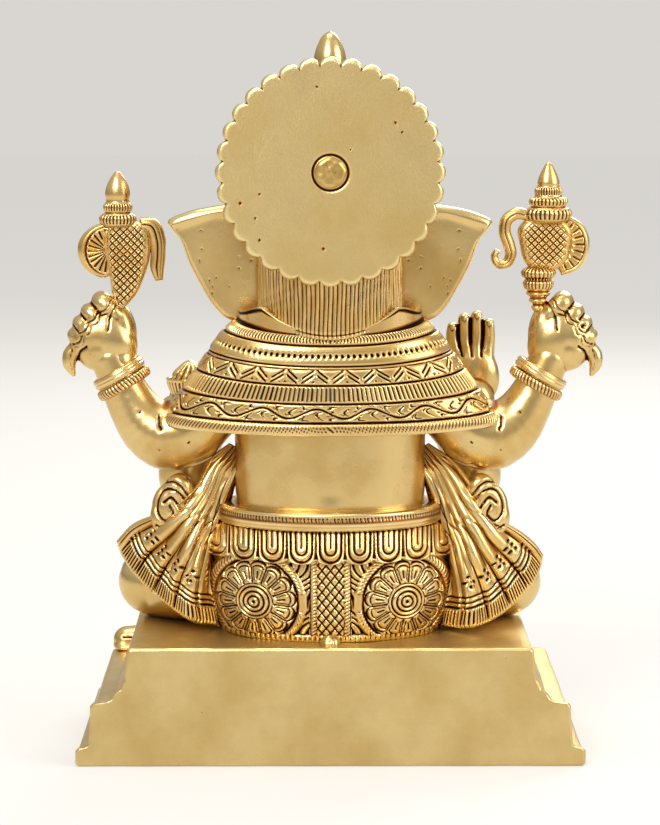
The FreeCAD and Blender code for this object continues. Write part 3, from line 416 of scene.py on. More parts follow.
def smooth_shade(piece: bpy.types.Object, angle: float | None = None) -> None:
    """Shades a piece smooth, or smooth up to an angle in degrees."""
    pick(piece)
    if angle is None:
        bpy.ops.object.shade_smooth()
    else:
        bpy.ops.object.shade_smooth_by_angle(angle=math.radians(angle))


def tarnish(piece: bpy.types.Object, depth: float = 0.3, reach: int = 10) -> None:
    """Measures how hollow and how proud each point is, for the finish to read.

    Args:
        piece: the mesh.
        depth: hollows this deep in millimetres are fully dark.
        reach: how many rounds of smoothing the surface is compared with.
    """
    points, outward = read(piece), normals(piece)
    pairs = np.empty(len(piece.data.edges) * 2, np.int32)
    piece.data.edges.foreach_get("vertices", pairs)
    first, second = pairs.reshape(-1, 2).T
    count = len(points)
    degree = np.maximum(np.bincount(first, minlength=count) + np.bincount(second, minlength=count), 1)
    level = points.copy()
    for _ in range(reach):
        mean = np.stack([
            np.bincount(first, level[second, k], count) + np.bincount(second, level[first, k], count)
            for k in range(3)], axis=1) / degree[:, None]
        level = (level + mean) / 2
    hollow = np.sum((level - points) * outward, axis=1)
    # the second value lightens proud edges: rubbed metal plus a painted highlight
    for name, amount in (("patina", hollow / depth), ("wear_and_highlight", -hollow / depth - 0.15)):
        layer = piece.data.attributes.new(name, "FLOAT", "POINT")
        layer.data.foreach_set("value", np.clip(amount, 0, 1).astype(np.float32))


def hand_over(
    piece: bpy.types.Object, finish: Finish, nodes: Sequence[str], depth: float = 0.3, reach: int = 10
) -> bpy.types.Object:
    """Dresses a finished piece and puts it in the frame.

    Args:
        piece: the mesh, in place.
        finish: what it is made of.
        nodes: the CAD nodes that it stands for.
        depth: see tarnish.
        reach: see tarnish.

    Returns:
        The piece.
    """
    piece.data.materials.clear()
    piece.data.materials.append(MATERIALS[finish])
    tarnish(piece, depth, reach)
    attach(piece, "root")
    if nodes:
        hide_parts(*nodes)
    log.info("%s: %d faces", piece.name, len(piece.data.polygons))
    return piece


class Sheet:
    """A fine grid laid over a surface and raised into relief.

    Attributes:
        piece: the object.
        across: place along each row, from 0 to 1, as a table of rows and columns.
        down: place along each column, from 0 to 1.
        points: where the vertices are, in millimetres.
        normal: the surface's outward direction there.
    """

    def __init__(self, name: str, columns: int, rows: int) -> None:
        """Adds the flat grid."""
        deselect()
        bpy.ops.mesh.primitive_grid_add(x_subdivisions=columns, y_subdivisions=rows, size=1)
        self.piece = bpy.context.object
        self.piece.name = self.piece.data.name = name
        flat = read(self.piece)
        self.order = np.lexsort((flat[:, 0].round(1), flat[:, 1].round(1)))
        ordered = flat[self.order]
        count = np.unique(ordered[:, 1].round(1)).size
        self.across = (ordered[:, 0] / 1000 + 0.5).reshape(count, -1)
        self.down = (ordered[:, 1] / 1000 + 0.5).reshape(count, -1)
        self.points = self.normal = np.zeros(self.across.shape + (3,))

    def lay(self, points: Array, relief: Array | float, outward: Array | Sequence[float]) -> "Sheet":
        """Lays the grid over points and raises it.

        Args:
            points: the smooth surface, rows by columns by 3.
            relief: height above it.
            outward: a direction that is roughly outward, the same everywhere or at each point.

        Returns:
            The sheet.
        """
        normal = np.cross(np.gradient(points, axis=1), np.gradient(points, axis=0))
        normal /= np.maximum(np.linalg.norm(normal, axis=2, keepdims=True), 1e-9)
        if np.sum(normal * np.asarray(outward)) < 0:
            normal = -normal
        self.normal = normal
        self.points = points + normal * (np.zeros(self.across.shape) + relief)[..., None]
        moved = np.empty((self.across.size, 3))
        moved[self.order] = self.points.reshape(-1, 3)
        write(self.piece, moved)
        return self

    def wall(self, depth: float) -> bpy.types.Object:
        """Closes the sheet with a plain wall behind it.

        Args:
            depth: how far behind the edges the wall is.

        Returns:
            The closed piece.
        """
        rows, columns = self.across.shape
        index = self.order.reshape(rows, columns)
        inner = (self.points - self.normal * depth) * MM
        mesh = bmesh.new()
        mesh.from_mesh(self.piece.data)
        mesh.verts.ensure_lookup_table()
        corner = [[mesh.verts[int(i)] for i in row] for row in index]
        top = [mesh.verts.new(inner[0, c]) for c in range(columns)]
        bottom = [mesh.verts.new(inner[-1, c]) for c in range(columns)]
        for c in range(columns - 1):
            mesh.faces.new((corner[0][c], corner[0][c + 1], top[c + 1], top[c]))
            mesh.faces.new((corner[-1][c + 1], corner[-1][c], bottom[c], bottom[c + 1]))
            mesh.faces.new((top[c], top[c + 1], bottom[c + 1], bottom[c]))
        for c in (0, columns - 1):
            mesh.faces.new([row[c] for row in corner] + [bottom[c], top[c]])
        mesh.to_mesh(self.piece.data)
        mesh.free()
        return weld(self.piece)


def lengths(points: Array) -> Array:
    """Distance along each row of a surface, from its middle column."""
    steps = np.linalg.norm(np.diff(points, axis=1), axis=2)
    along = np.concatenate([np.zeros((len(points), 1)), np.cumsum(steps, axis=1)], axis=1)
    return along - along[:, along.shape[1] // 2][:, None]


def two_faced(
    name: str, columns: int, rows: int, surface: Callable[[Array, Array], Array], outward: Sequence[float],
    height: Callable[[Array, Array, Array], Array], edge: Callable[[Array, Array], Array], thick: float,
) -> bpy.types.Object:
    """A thin casting that is worked on both faces and rounded at its edge.

    Args:
        name: the piece's name.
        columns: columns of the grid on each face.
        rows: rows of the grid on each face.
        surface: its middle surface, from places across and down.
        outward: the direction that its first face looks.
        height: relief, from places across and down and the middle surface.
        edge: distance in from the edge, from places across and down.
        thick: full thickness.

    Returns:
        The closed piece.
    """
    faces = []
    for side in (1, -1):
        sheet = Sheet(f"{name}_face", columns, rows)
        middle = surface(sheet.across, sheet.down)
        rim = edge(sheet.across, sheet.down)
        rounded = np.sqrt(1 - (1 - np.clip(rim / (thick * 0.55), 0, 1)) ** 2)
        relief = height(sheet.across, sheet.down, middle) * ease(0, thick * 0.7, rim)
        sheet.lay(middle, thick / 2 * rounded + relief, np.asarray(outward) * side)
        faces.append(sheet.piece)
    piece = join(faces)
    piece.name = piece.data.name = name
    weld(piece)
    smooth_shade(piece)
    return piece


def plaque(
    name: str, outline: Sequence[tuple[float, float]], centre: tuple[float, float], deep: float, thick: float,
    height: Callable[[Array, Array], Array], columns: int = 150, rows: int = 60,
) -> bpy.types.Object:
    """A flat casting in the X-Z plane, with a smooth outline.

    Args:
        name: the piece's name.
        outline: points that the outline passes through, as x and z.
        centre: a point inside that sees the whole outline.
        deep: its y.
        thick: full thickness.
        height: relief, from x and z.
        columns: columns of the grid, round the outline.
        rows: rows of the grid, from the centre out.

    Returns:
        The closed piece.
    """
    middle = np.asarray(centre, float)

    def surface(across: Array, down: Array) -> Array:
        """The flat face, from its centre out to the outline."""
        rim = through(outline, across, closed=True)
        flat = middle + (rim - middle) * (0.002 + 0.998 * down[..., None])
        return np.stack([flat[..., 0], np.full(down.shape, deep), flat[..., 1]], axis=-1)

    def inward(across: Array, down: Array) -> Array:
        """How far in from the outline each place is."""
        reach = np.linalg.norm(through(outline, across, closed=True) - middle, axis=-1)
        return (1 - down) * reach

    return two_faced(name, columns, rows, surface, (0, 1, 0),
                     lambda a, d, p: height(p[..., 0], p[..., 2]), inward, thick)


def ribbon(
    name: str, path: Sequence[tuple[float, float]], widths: Sequence[float], deep: float, thick: float,
    height: Callable[[Array, Array], Array], columns: int = 120, rows: int = 24,
) -> bpy.types.Object:
    """A flat band in the X-Z plane that follows a curved path.

    Args:
        name: the piece's name.
        path: points that its middle passes through, as x and z.
        widths: its width at each of evenly spaced places along it.
        deep: its y.
        thick: full thickness.
        height: relief, from place along it and distance from its middle, which is -1 to 1.
        columns: columns of the grid, along the path.
        rows: rows of the grid, across it.

    Returns:
        The closed piece.
    """
    places = np.linspace(0, 1, len(widths))

    def surface(across: Array, down: Array) -> Array:
        """The flat band along its path."""
        here, ahead = through(path, across), through(path, np.clip(across + 1e-3, 0, 1))
        behind = through(path, np.clip(across - 1e-3, 0, 1))
        way = ahead - behind
        way /= np.linalg.norm(way, axis=-1, keepdims=True)
        side = np.stack([-way[..., 1], way[..., 0]], axis=-1)
        half = curve(places, widths, across) / 2
        flat = here + side * (half * (down * 2 - 1))[..., None]
        return np.stack([flat[..., 0], np.full(down.shape, deep), flat[..., 1]], axis=-1)

    def inward(across: Array, down: Array) -> Array:
        """How far in from the band's edges each place is."""
        half = curve(places, widths, across) / 2
        return np.minimum(half * (1 - np.abs(down * 2 - 1)), np.minimum(across, 1 - across) * 40)

    return two_faced(name, columns, rows, surface, (0, 1, 0),
                     lambda a, d, p: height(a, d * 2 - 1), inward, thick)


class Clay:
    """Solid lumps pressed together and smoothed into one skin."""

    def __init__(self, name: str) -> None:
        """Starts an empty mesh that the lumps go into."""
        deselect()
        bpy.ops.object.add(type="MESH")
        self.piece = bpy.context.object
        self.piece.name = self.piece.data.name = name
        bpy.ops.object.mode_set(mode="EDIT")

    def ball(self, at: Sequence[float], radii: Sequence[float] | float,
             turn: Sequence[float] = (0, 0, 0)) -> "Clay":
        """Adds an egg with its half sizes, turned by angles in degrees."""
        size = (radii,) * 3 if isinstance(radii, (int, float)) else radii
        bpy.ops.mesh.primitive_ico_sphere_add(
            subdivisions=4, radius=MM, location=[v * MM for v in at], scale=[float(v) for v in size],
            rotation=[math.radians(v) for v in turn])
        return self

    def limb(self, path: Sequence[Sequence[float]], radii: Sequence[float], steps: int = 12) -> "Clay":
        """Adds a tapering limb along a smooth path.

        Args:
            path: points that its middle passes through.
            radii: its radius at each.
            steps: how many short cones it is made of.

        Returns:
            The clay.
        """
        both = through([(*p, r) for p, r in zip(path, radii)], np.linspace(0, 1, steps + 1))
        for start, end in zip(both, both[1:]):
            run = Vector(end[:3] - start[:3])
            bpy.ops.mesh.primitive_cone_add(
                vertices=28, radius1=start[3] * MM, radius2=end[3] * MM, depth=run.length * MM,
                location=(start[:3] + end[:3]) / 2 * MM, rotation=run.to_track_quat("Z", "Y").to_euler())
        for point in both:
            self.ball(point[:3], float(point[3]) * 0.999)
        return self

    def skin(self, grain: float, rounds: int = 6, factor: float = 0.5) -> bpy.types.Object:
        """Makes one smooth skin over the lumps.

        Args:
            grain: size of the skin's faces.
            rounds: how often it is smoothed.
            factor: how strongly each time.

        Returns:
            The piece.
        """
        bpy.ops.object.mode_set(mode="OBJECT")
        modify(self.piece, "REMESH", mode="VOXEL", voxel_size=grain * MM, use_smooth_shade=True)
        modify(self.piece, "SMOOTH", factor=factor, iterations=rounds)
        smooth_shade(self.piece)
        return self.piece


@dataclass(frozen=True)
class Stroke:
    """A chased line.

    Attributes:
        path: points that it passes through.
        width: half its width.
        depth: how deep it is cut, or below 0 how high it stands.
        drop: the axis along which it is seen, 0 to 2, or None if the path lies on the surface.
        side: which way the surface faces along that axis, 1 or -1.
        closed: whether it comes back to its start.
    """

    path: Sequence[Sequence[float]]
    width: float = 0.55
    depth: float = 0.5
    drop: int | None = 1
    side: int = 1
    closed: bool = False


def chase(piece: bpy.types.Object, strokes: Sequence[Stroke]) -> bpy.types.Object:
    """Cuts or raises lines on a mesh.

    Args:
        piece: the mesh.
        strokes: the lines.

    Returns:
        The mesh.
    """
    points, outward = read(piece), normals(piece)
    shift = np.zeros(len(points))
    for stroke in strokes:
        keep = [k for k in range(3) if k != stroke.drop]
        given = np.asarray(stroke.path, float)
        line = through(given, np.linspace(0, 1, max(6, len(given) * 5)), stroke.closed)
        line = line[:, keep] if line.shape[1] == 3 else line
        flat = points[:, keep]
        reach = stroke.width * 3
        near = np.all((flat > line.min(0) - reach) & (flat < line.max(0) + reach), axis=1)
        if stroke.drop is not None:
            near &= outward[:, stroke.drop] * stroke.side > 0.12
        chosen = np.flatnonzero(near)
        if not len(chosen):
            continue
        start, run = line[:-1], np.diff(line, axis=0)
        away = flat[chosen][:, None] - start
        part = np.clip(np.sum(away * run, axis=2) / np.maximum(np.sum(run * run, axis=1), 1e-9), 0, 1)
        distance = np.linalg.norm(away - part[..., None] * run, axis=2).min(axis=1)
        cut = stroke.depth * groove(distance, stroke.width)
        shift[chosen] = np.where(np.abs(cut) > np.abs(shift[chosen]), cut, shift[chosen])
    write(piece, points - outward * shift[:, None])
    return piece


def along(points: Array, path: Sequence[Sequence[float]], count: int = 60) -> tuple[Array, Array]:
    """How far along a smooth path each point is, and how far away from it.

    Args:
        points: the points.
        path: points that the path passes through.
        count: how finely the path is divided.

    Returns:
        Distance along the path, and distance from it.
    """
    line = through(path, np.linspace(0, 1, count))
    run = np.diff(line, axis=0)
    length = np.linalg.norm(run, axis=1)
    before = np.concatenate([[0], np.cumsum(length)])[:-1]
    away = points[:, None] - line[:-1]
    part = np.clip(np.sum(away * run, axis=2) / length**2, 0, 1)
    gap = np.linalg.norm(away - part[..., None] * run, axis=2)
    best = gap.argmin(axis=1)
    rows = np.arange(len(points))
    return before[best] + part[rows, best] * length[best], gap[rows, best]


def press(piece: bpy.types.Object, height: Callable[[Array, Array], Array]) -> bpy.types.Object:
    """Raises a mesh by a height worked out from its points and normals."""
    points, outward = read(piece), normals(piece)
    write(piece, points + outward * height(points, outward)[:, None])
    return piece


def flip(piece: bpy.types.Object, name: str) -> bpy.types.Object:
    """A copy of a piece on the deity's other side."""
    pick(piece)
    bpy.ops.object.duplicate()
    copy = bpy.context.object
    copy.name = copy.data.name = name
    write(copy, read(copy) * (-1, 1, 1))
    bpy.ops.object.mode_set(mode="EDIT")
    bpy.ops.mesh.select_all(action="SELECT")
    bpy.ops.mesh.flip_normals()
    bpy.ops.object.mode_set(mode="OBJECT")
    return copy


def spun(name: str, profile: Sequence[tuple[float, float]], centre: Sequence[float], steps: int = 96,
         smooth: int = 0) -> bpy.types.Object:
    """A turned piece about an upright axis.

    Args:
        name: the piece's name.
        profile: radius and height of each corner, from the foot up.
        centre: where the axis and the foot are.
        steps: how many faces there are round it.
        smooth: how many points a smooth curve through the corners is divided into, or 0 for none.

    Returns:
        The closed piece.
    """
    corners = np.asarray(profile, float)
    if smooth:
        corners = through(corners, np.linspace(0, 1, smooth))
    deselect()
    bpy.ops.mesh.primitive_circle_add(vertices=len(corners), radius=1, fill_type="NOTHING")
    piece = bpy.context.object
    piece.name = piece.data.name = name
    base = np.asarray(centre, float)
    write(piece, np.stack([base[0] + np.maximum(corners[:, 0], 0), np.full(len(corners), base[1]),
                           base[2] + corners[:, 1]], axis=1))
    bpy.ops.object.mode_set(mode="EDIT")
    bpy.ops.mesh.select_all(action="SELECT")
    bpy.ops.mesh.spin(steps=steps, angle=2 * math.pi, center=tuple(base * MM), axis=(0, 0, 1))
    bpy.ops.object.mode_set(mode="OBJECT")
    weld(piece, 0.01)
    smooth_shade(piece, 40)
    return piece


def corners(node: str) -> tuple[Array, Array]:
    """The lowest and highest corner of a CAD node, in millimetres."""
    low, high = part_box(node)
    return np.array(low) / MM, np.array(high) / MM


@dataclass(frozen=True)
class Datums:
    """Places that the sub-assemblies share, from the CAD.

    Attributes:
        seat: height of the pedestal's top.
        waist: height where the hips casting ends and the belt starts.
        axis: depth of the figure's axis.
        back: depth of the pedestal's back.
        halo: centre of the halo.
        top: height of the whole statue.
    """

    seat: float = float(corners("pedestal_casting")[1][2])
    waist: float = float(corners("waist_belt")[0][2])
    axis: float = float(corners("waist_belt")[0][1] + corners("waist_belt")[1][1]) / 2
    back: float = float(corners("pedestal_back_plate")[1][1])
    halo: tuple[float, float, float] = tuple(float(v) for v in sum(corners("halo")) / 2)
    top: float = float(corners("crown_finial")[1][2])


D = Datums()


def hoop(
    name: str, columns: int, rows: int, ring: Callable[[Array], Array], half: tuple[float, float],
    up: Sequence[float], relief: Callable[[Array, Array], Array], middle: Sequence[float],
) -> bpy.types.Object:
    """A closed band round a limb or the waist.

    Args:
        name: the piece's name.
        columns: columns of the grid, round the band.
        rows: rows of the grid, round its section.
        ring: the middle of its section, from an angle in radians.
        half: half its thickness and half its height.
        up: the direction of its height.
        relief: height of its chasing, from distance round it and place across its outer face, -1 to 1.
        middle: a point inside the ring.

    Returns:
        The closed piece.
    """
    sheet = Sheet(name, columns, rows)
    turn, section = sheet.across * 2 * math.pi, sheet.down * 2 * math.pi
    core = ring(turn)
    rise = np.asarray(up, float) / np.linalg.norm(up)
    out = core - np.asarray(middle, float)
    out -= rise * np.sum(out * rise, axis=-1, keepdims=True)
    out /= np.linalg.norm(out, axis=-1, keepdims=True)
    skin = (core + out * (half[0] * signed_power(np.cos(section), 0.7))[..., None]
            + rise * (half[1] * signed_power(np.sin(section), 0.7))[..., None])
    face = np.clip(np.cos(section), 0, 1) ** 0.5
    sheet.lay(skin, relief(lengths(core), signed_power(np.sin(section), 0.7)) * face, skin - core)
    piece = weld(sheet.piece)
    smooth_shade(piece)
    return piece


# ------------------------------------------------------------------ pedestal
@dataclass
class Pedestal:
    """The stepped pedestal: a hollow casting, the plate behind it, and the lug and hardware.

    Attributes:
        levels: half width, front depth and height of each corner of the casting's moulding, where
            front depth is measured forward from the plate.
        plate: half width and height of each corner of the back plate's outline.
        thick: thickness of the back plate.
        wall: thickness of the casting's walls.
    """

    levels: tuple[Point, ...] = (
        (104.6, 130.6, 0.0), (106.5, 131.0, 0.8), (106.5, 131.0, 6.7), (105.6, 130.2, 7.5),
        (102.2, 126.8, 8.2),
        (101.0, 125.5, 9.4), (100.75, 125.0, 11.0), (100.1, 124.6, 24.8), (99.2, 123.6, 26.4),
        (98.0, 122.5, 27.0),
        (92.4, 118.2, 27.5), (91.5, 117.0, 28.5), (90.8, 115.4, 30.0), (89.5, 113.6, 31.3),
        (87.6, 109.2, 33.2),
        (86.9, 107.6, 35.6), (86.5, 106.0, 37.5), (85.9, 105.6, 47.6), (85.2, 105.0, 49.2),
        (83.8, 103.6, 50.0))
    plate: tuple[tuple[float, float], ...] = (
        (105.0, 0.0), (106.5, 1.2), (106.5, 6.3), (105.3, 7.5), (102.5, 8.1), (101.2, 9.2), (101.0, 11.0),
        (100.5, 18.0), (100.1, 25.4), (99.0, 26.6), (93.4, 27.3), (91.7, 28.4), (90.9, 30.0), (89.6, 31.2),
        (87.9, 32.6), (87.0, 34.8), (85.9, 36.4), (85.2, 43.0), (84.6, 48.6), (83.4, 50.0))
    thick: float = 4.0
    wall: float = 4.0

    def loop(self, half: float, deep: float, high: float, corner: float) -> Array:
        """Points round a rounded rectangle whose back is at the plate."""
        rear = D.back - self.thick
        front = rear - deep + 4
        points = []
        for x, y, start in ((half, rear, 0), (-half, rear, 90), (-half, front, 180), (half, front, 270)):
            radius = min(corner, 1.2) if y == rear else corner
            for angle in np.radians(np.linspace(start, start + 90, 9)):
                sx, sy = (1 if x > 0 else -1), (1 if y == rear else -1)
                points.append((x - sx * radius + radius * math.cos(angle),
                               y - sy * radius + radius * math.sin(angle), high))
        return np.array(points)

    def casting(self) -> bpy.types.Object:
        """Moulds the casting: its outer face, its foot and the hollow under it."""
        inside = [(half - self.wall - 1.5, deep - self.wall - 3, high) for half, deep, high in
                  ((104.0, 128.5, 0.0), (101.5, 124.5, 9.0), (100.0, 123.6, 21.0), (88.0, 106.0, 31.0),
                   (86.0, 102.0, D.seat - 14.0))]
        outer = [self.loop(half - 1.2, deep, high, 2.6) for half, deep, high in self.levels]
        inner = []
        for half, deep, high in inside:
            ring = self.loop(half, deep, high, 4.0)
            ring[:, 1] = np.minimum(ring[:, 1], D.back - self.thick - self.wall)
            inner.append(ring)
        rings = inner[::-1] + outer
        count = len(rings[0])
        mesh = bmesh.new()
        grid = [[mesh.verts.new(p * MM) for p in ring] for ring in rings]
        for low, high in zip(grid, grid[1:]):
            for k in range(count):
                mesh.faces.new((low[k], low[(k + 1) % count], high[(k + 1) % count], high[k]))
        mesh.faces.new(grid[0])
        mesh.faces.new(grid[-1])
        data = bpy.data.meshes.new("pedestal_casting_worked")
        mesh.to_mesh(data)
        mesh.free()
        piece = bpy.data.objects.new("pedestal_casting_worked", data)
        bpy.context.scene.collection.objects.link(piece)
        weld(piece)
        slice_up(piece, 0, np.arange(-110, 110, 5) + 0.37)
        slice_up(piece, 1, np.arange(-70, 70, 5) + 0.37)
        press(piece, self.unevenness)
        smooth_shade(piece, 32)
        return hand_over(piece, Finish.SATIN, ["pedestal_casting"], 9.0, 1)

    def unevenness(self, points: Array, outward: Array) -> Array:
        """Slow waves and dents that hand fettling leaves."""
        x, y, z = points.T
        return (0.16 * np.sin(x / 9.3 + z / 5.1) * np.sin(y / 11.7 + 1) + 0.1
                * np.sin(x / 4.1 + 2 * np.sin(z / 7))
                - 0.12) * (z > 0.5)

    def back_plate(self) -> bpy.types.Object:
        """Cuts the plate to its outline, with filed edges and small dents."""
        deselect()
        bpy.ops.mesh.primitive_plane_add(size=1)
        piece = bpy.context.object
        piece.name = piece.data.name = "pedestal_back_plate_worked"
        mesh = bmesh.new()
        rows = []
        for inset, deep in ((0.9, -self.thick), (0, -self.thick + 0.5), (0, -1.1), (0.35, -0.35), (1.1, 0.0)):
            right = [(max(h - inset, 0), min(max(z, inset), D.seat - inset)) for h, z in self.plate]
            ring = [(h, z) for h, z in right] + [(-h, z) for h, z in reversed(right)]
            rows.append([mesh.verts.new((h * MM, (D.back + deep) * MM, z * MM)) for h, z in ring])
        for near, far in zip(rows, rows[1:]):
            for k in range(len(near)):
                n = (k + 1) % len(near)
                mesh.faces.new((near[k], near[n], far[n], far[k]))
        count = len(self.plate)
        for row in (rows[0], rows[-1]):
            for k in range(count - 1):
                mesh.faces.new((row[k], row[k + 1], row[2 * count - 2 - k], row[2 * count - 1 - k]))
        mesh.to_mesh(piece.data)
        mesh.free()
        weld(piece)
        slice_up(piece, 0, np.arange(-104.63, 106, 1.9))
        slice_up(piece, 2, np.arange(2.1, 49, 2.0))
        generator = np.random.default_rng(7)
        dents = generator.uniform((-98, 4, 0.9, 0.05), (98, 47, 3.0, 0.16), (26, 4))

        def worn(points: Array, outward: Array) -> Array:
            """Slow waves all over, and small round dents behind."""
            x, _, z = points.T
            rear = outward[:, 1] > 0.6
            height = 0.13 * np.sin(x / 12.3 + 1.7) * np.sin(z / 8.1) + 0.09 * np.sin(x / 5.3 + z / 3.9)
            for at, high, wide, deep in dents:
                height = height - deep * groove(np.hypot(x - at, z - high), wide)
            return np.where(rear, height - 0.15, height * 0.5)

        press(piece, worn)
        smooth_shade(piece, 35)
        return hand_over(piece, Finish.SATIN, ["pedestal_back_plate"], 0.9, 3)

    def lug(self) -> bpy.types.Object:
        """The small blob of metal on the seat behind the figure, left from the casting's gate."""
        low, high = corners("rear_lug")
        middle = (low + high) / 2
        clay = Clay("rear_lug_worked")
        clay.ball((middle[0], middle[1], low[2] + 0.6), (4.2, 6.2, 3.2))
        clay.ball((middle[0] + 0.8, middle[1] + 2.4, low[2] + 1.6), (2.6, 2.6, 2.6))
        piece = clay.skin(0.5, 4)
        press(piece, lambda p, n: 0.25 * np.sin(p[:, 0] * 2.1) * np.sin(p[:, 1] * 1.7))
        return hand_over(piece, Finish.SATIN, ["rear_lug"])

    def hardware(self) -> None:
        """Finishes the studs, washers and nuts in the hollow."""
        for node in ("mounting_studs", "stud_washers", "stud_nuts"):
            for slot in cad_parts[node].material_slots:
                slot.material = MATERIALS[Finish.STEEL]

    def make(self) -> None:
        """Makes every piece of the pedestal."""
        self.casting()
        self.back_plate()
        self.lug()
        self.hardware()


# ------------------------------------------------------------------ halo, ears and hair
@dataclass
class Halo:
    """The scalloped disc behind the head, and the peened stud that holds it.

    Attributes:
        rim: radius at the scallops' tips.
        valley: radius between them.
        scallops: how many there are.
        thick: the disc's thickness.
    """

    rim: float = 47.9
    valley: float = 44.3
    scallops: int = 32
    thick: float = 3.4

    def disc(self) -> bpy.types.Object:
        """The disc: hammered plain behind, with rays and rings in front."""
        cx, cy, cz = D.halo

        def radius(angle: Array) -> Array:
            """The scalloped edge's radius."""
            part = repeat(angle, 2 * math.pi / self.scallops) * self.scallops / math.pi
            return self.valley + (self.rim - self.valley) * np.sqrt(np.clip(1 - part**2, 0, 1))

        def surface(across: Array, down: Array) -> Array:
            """The disc's middle surface."""
            angle = across * 2 * math.pi
            reach = np.where(down < 0.9, down / 0.9 * 0.93 * self.valley,
                             0.93 * self.valley + (down - 0.9) * 10 * (radius(angle) - 0.93 * self.valley))
            return np.stack([cx + reach * np.sin(angle), np.full(down.shape, cy), cz + reach
                             * np.cos(angle)], -1)

        generator = np.random.default_rng(3)
        scratches = generator.uniform((-40, -40, 0, 5), (40, 40, math.pi, 18), (12, 4))
        pits = (list(generator.uniform((-42, -42, 0.35), (42, 42, 0.6), (7, 3)))
                + [(2.9, -31.5, 0.9), (37.4, -12.6, 0.8)])

        def height(across: Array, down: Array, middle: Array) -> Array:
            """Slow waves, scratches, pits and the ring round the stud."""
            x, z = middle[..., 0] - cx, middle[..., 2] - cz
            level = 0.1 * np.sin(x / 8.1 + 1) * np.sin(z / 9.7) + 0.06 * np.sin(x / 3.7) * np.sin(z / 4.3 + 2)
            for px, pz, turn, long in scratches:
                ahead = (x - px) * math.cos(turn) + (z - pz) * math.sin(turn)
                aside = -(x - px) * math.sin(turn) + (z - pz) * math.cos(turn)
                level = level - 0.05 * groove(aside, 0.35) * ease(long / 2 + 1, long / 2 - 2, np.abs(ahead))
            for px, pz, wide in pits:
                level = level - 0.3 * groove(np.hypot(x - px, z - pz), wide)
            level = level - 0.55 * groove(np.hypot(x, z) - 7.4, 0.6)
            return level

        def rim_gap(across: Array, down: Array) -> Array:
            """How far in from the scallops each place is."""
            at = surface(across, down)
            return radius(across * 2 * math.pi) - np.hypot(at[..., 0] - cx, at[..., 2] - cz)

        piece = two_faced("halo_worked", 321, 84, surface, (0, 1, 0), height, rim_gap, self.thick)

        def front(points: Array, outward: Array) -> Array:
            """The rays and rings cut in front."""
            x, z = points[:, 0] - cx, points[:, 2] - cz
            reach, angle = np.hypot(x, z), np.arctan2(x, z)
            rays = (groove(repeat(angle, 2 * math.pi / self.scallops) * reach, 0.6) * ease(27, 29, reach)
                    * ease(43, 41, reach))
            rings = groove(reach - 43.4, 0.5) + groove(reach - 27.2, 0.5) + groove(reach - 30.5, 0.35)
            return np.where(outward[:, 1] < -0.5, -0.6 * np.maximum(rays, rings), 0)

        press(piece, front)
        return hand_over(piece, Finish.SATIN, ["halo"], 0.22, 6)

    def stud(self) -> bpy.types.Object:
        """The stud's peened head."""
        cx, _, cz = D.halo
        rear = corners("halo_rivet")[1][1] - 2.3
        profile = [(0, 0), (6.0, 0), (6.5, 0.5), (6.4, 1.2), (5.4, 1.9), (3.4, 2.2), (1.6, 2.28), (0, 2.3)]
        piece = spun("halo_rivet_worked", profile, (cx, 0, 0), 72, 60)
        points = read(piece)
        write(piece, np.stack([points[:, 0], rear + points[:, 2], cz - points[:, 1]], axis=1))
        press(piece, lambda p, n: 0.16 * np.sin(p[:, 0] * 0.9 + 1) * np.sin(p[:, 2] * 1.1)
              - 0.12 * groove(p[:, 0] - cx - 0.4 * (p[:, 2] - cz), 0.4) * (np.abs(p[:, 2] - cz) < 3))
        pin = spun("halo_pin", [(0, 0), (5.0, 0), (5.0, 4), (3.2, 4.4), (3.2, 14), (0, 14)], (cx, 0, 0), 48)
        points = read(pin)
        write(pin, np.stack([points[:, 0], D.halo[1] - self.thick / 2 - points[:, 2], cz - points[:, 1]],
                            axis=1))
        piece = join([piece, pin])
        weld(piece, 0.005)
        return hand_over(piece, Finish.PINS, ["halo_rivet"], 0.2, 6)

    def make(self) -> None:
        """Makes the halo's pieces."""
        self.disc()
        self.stud()


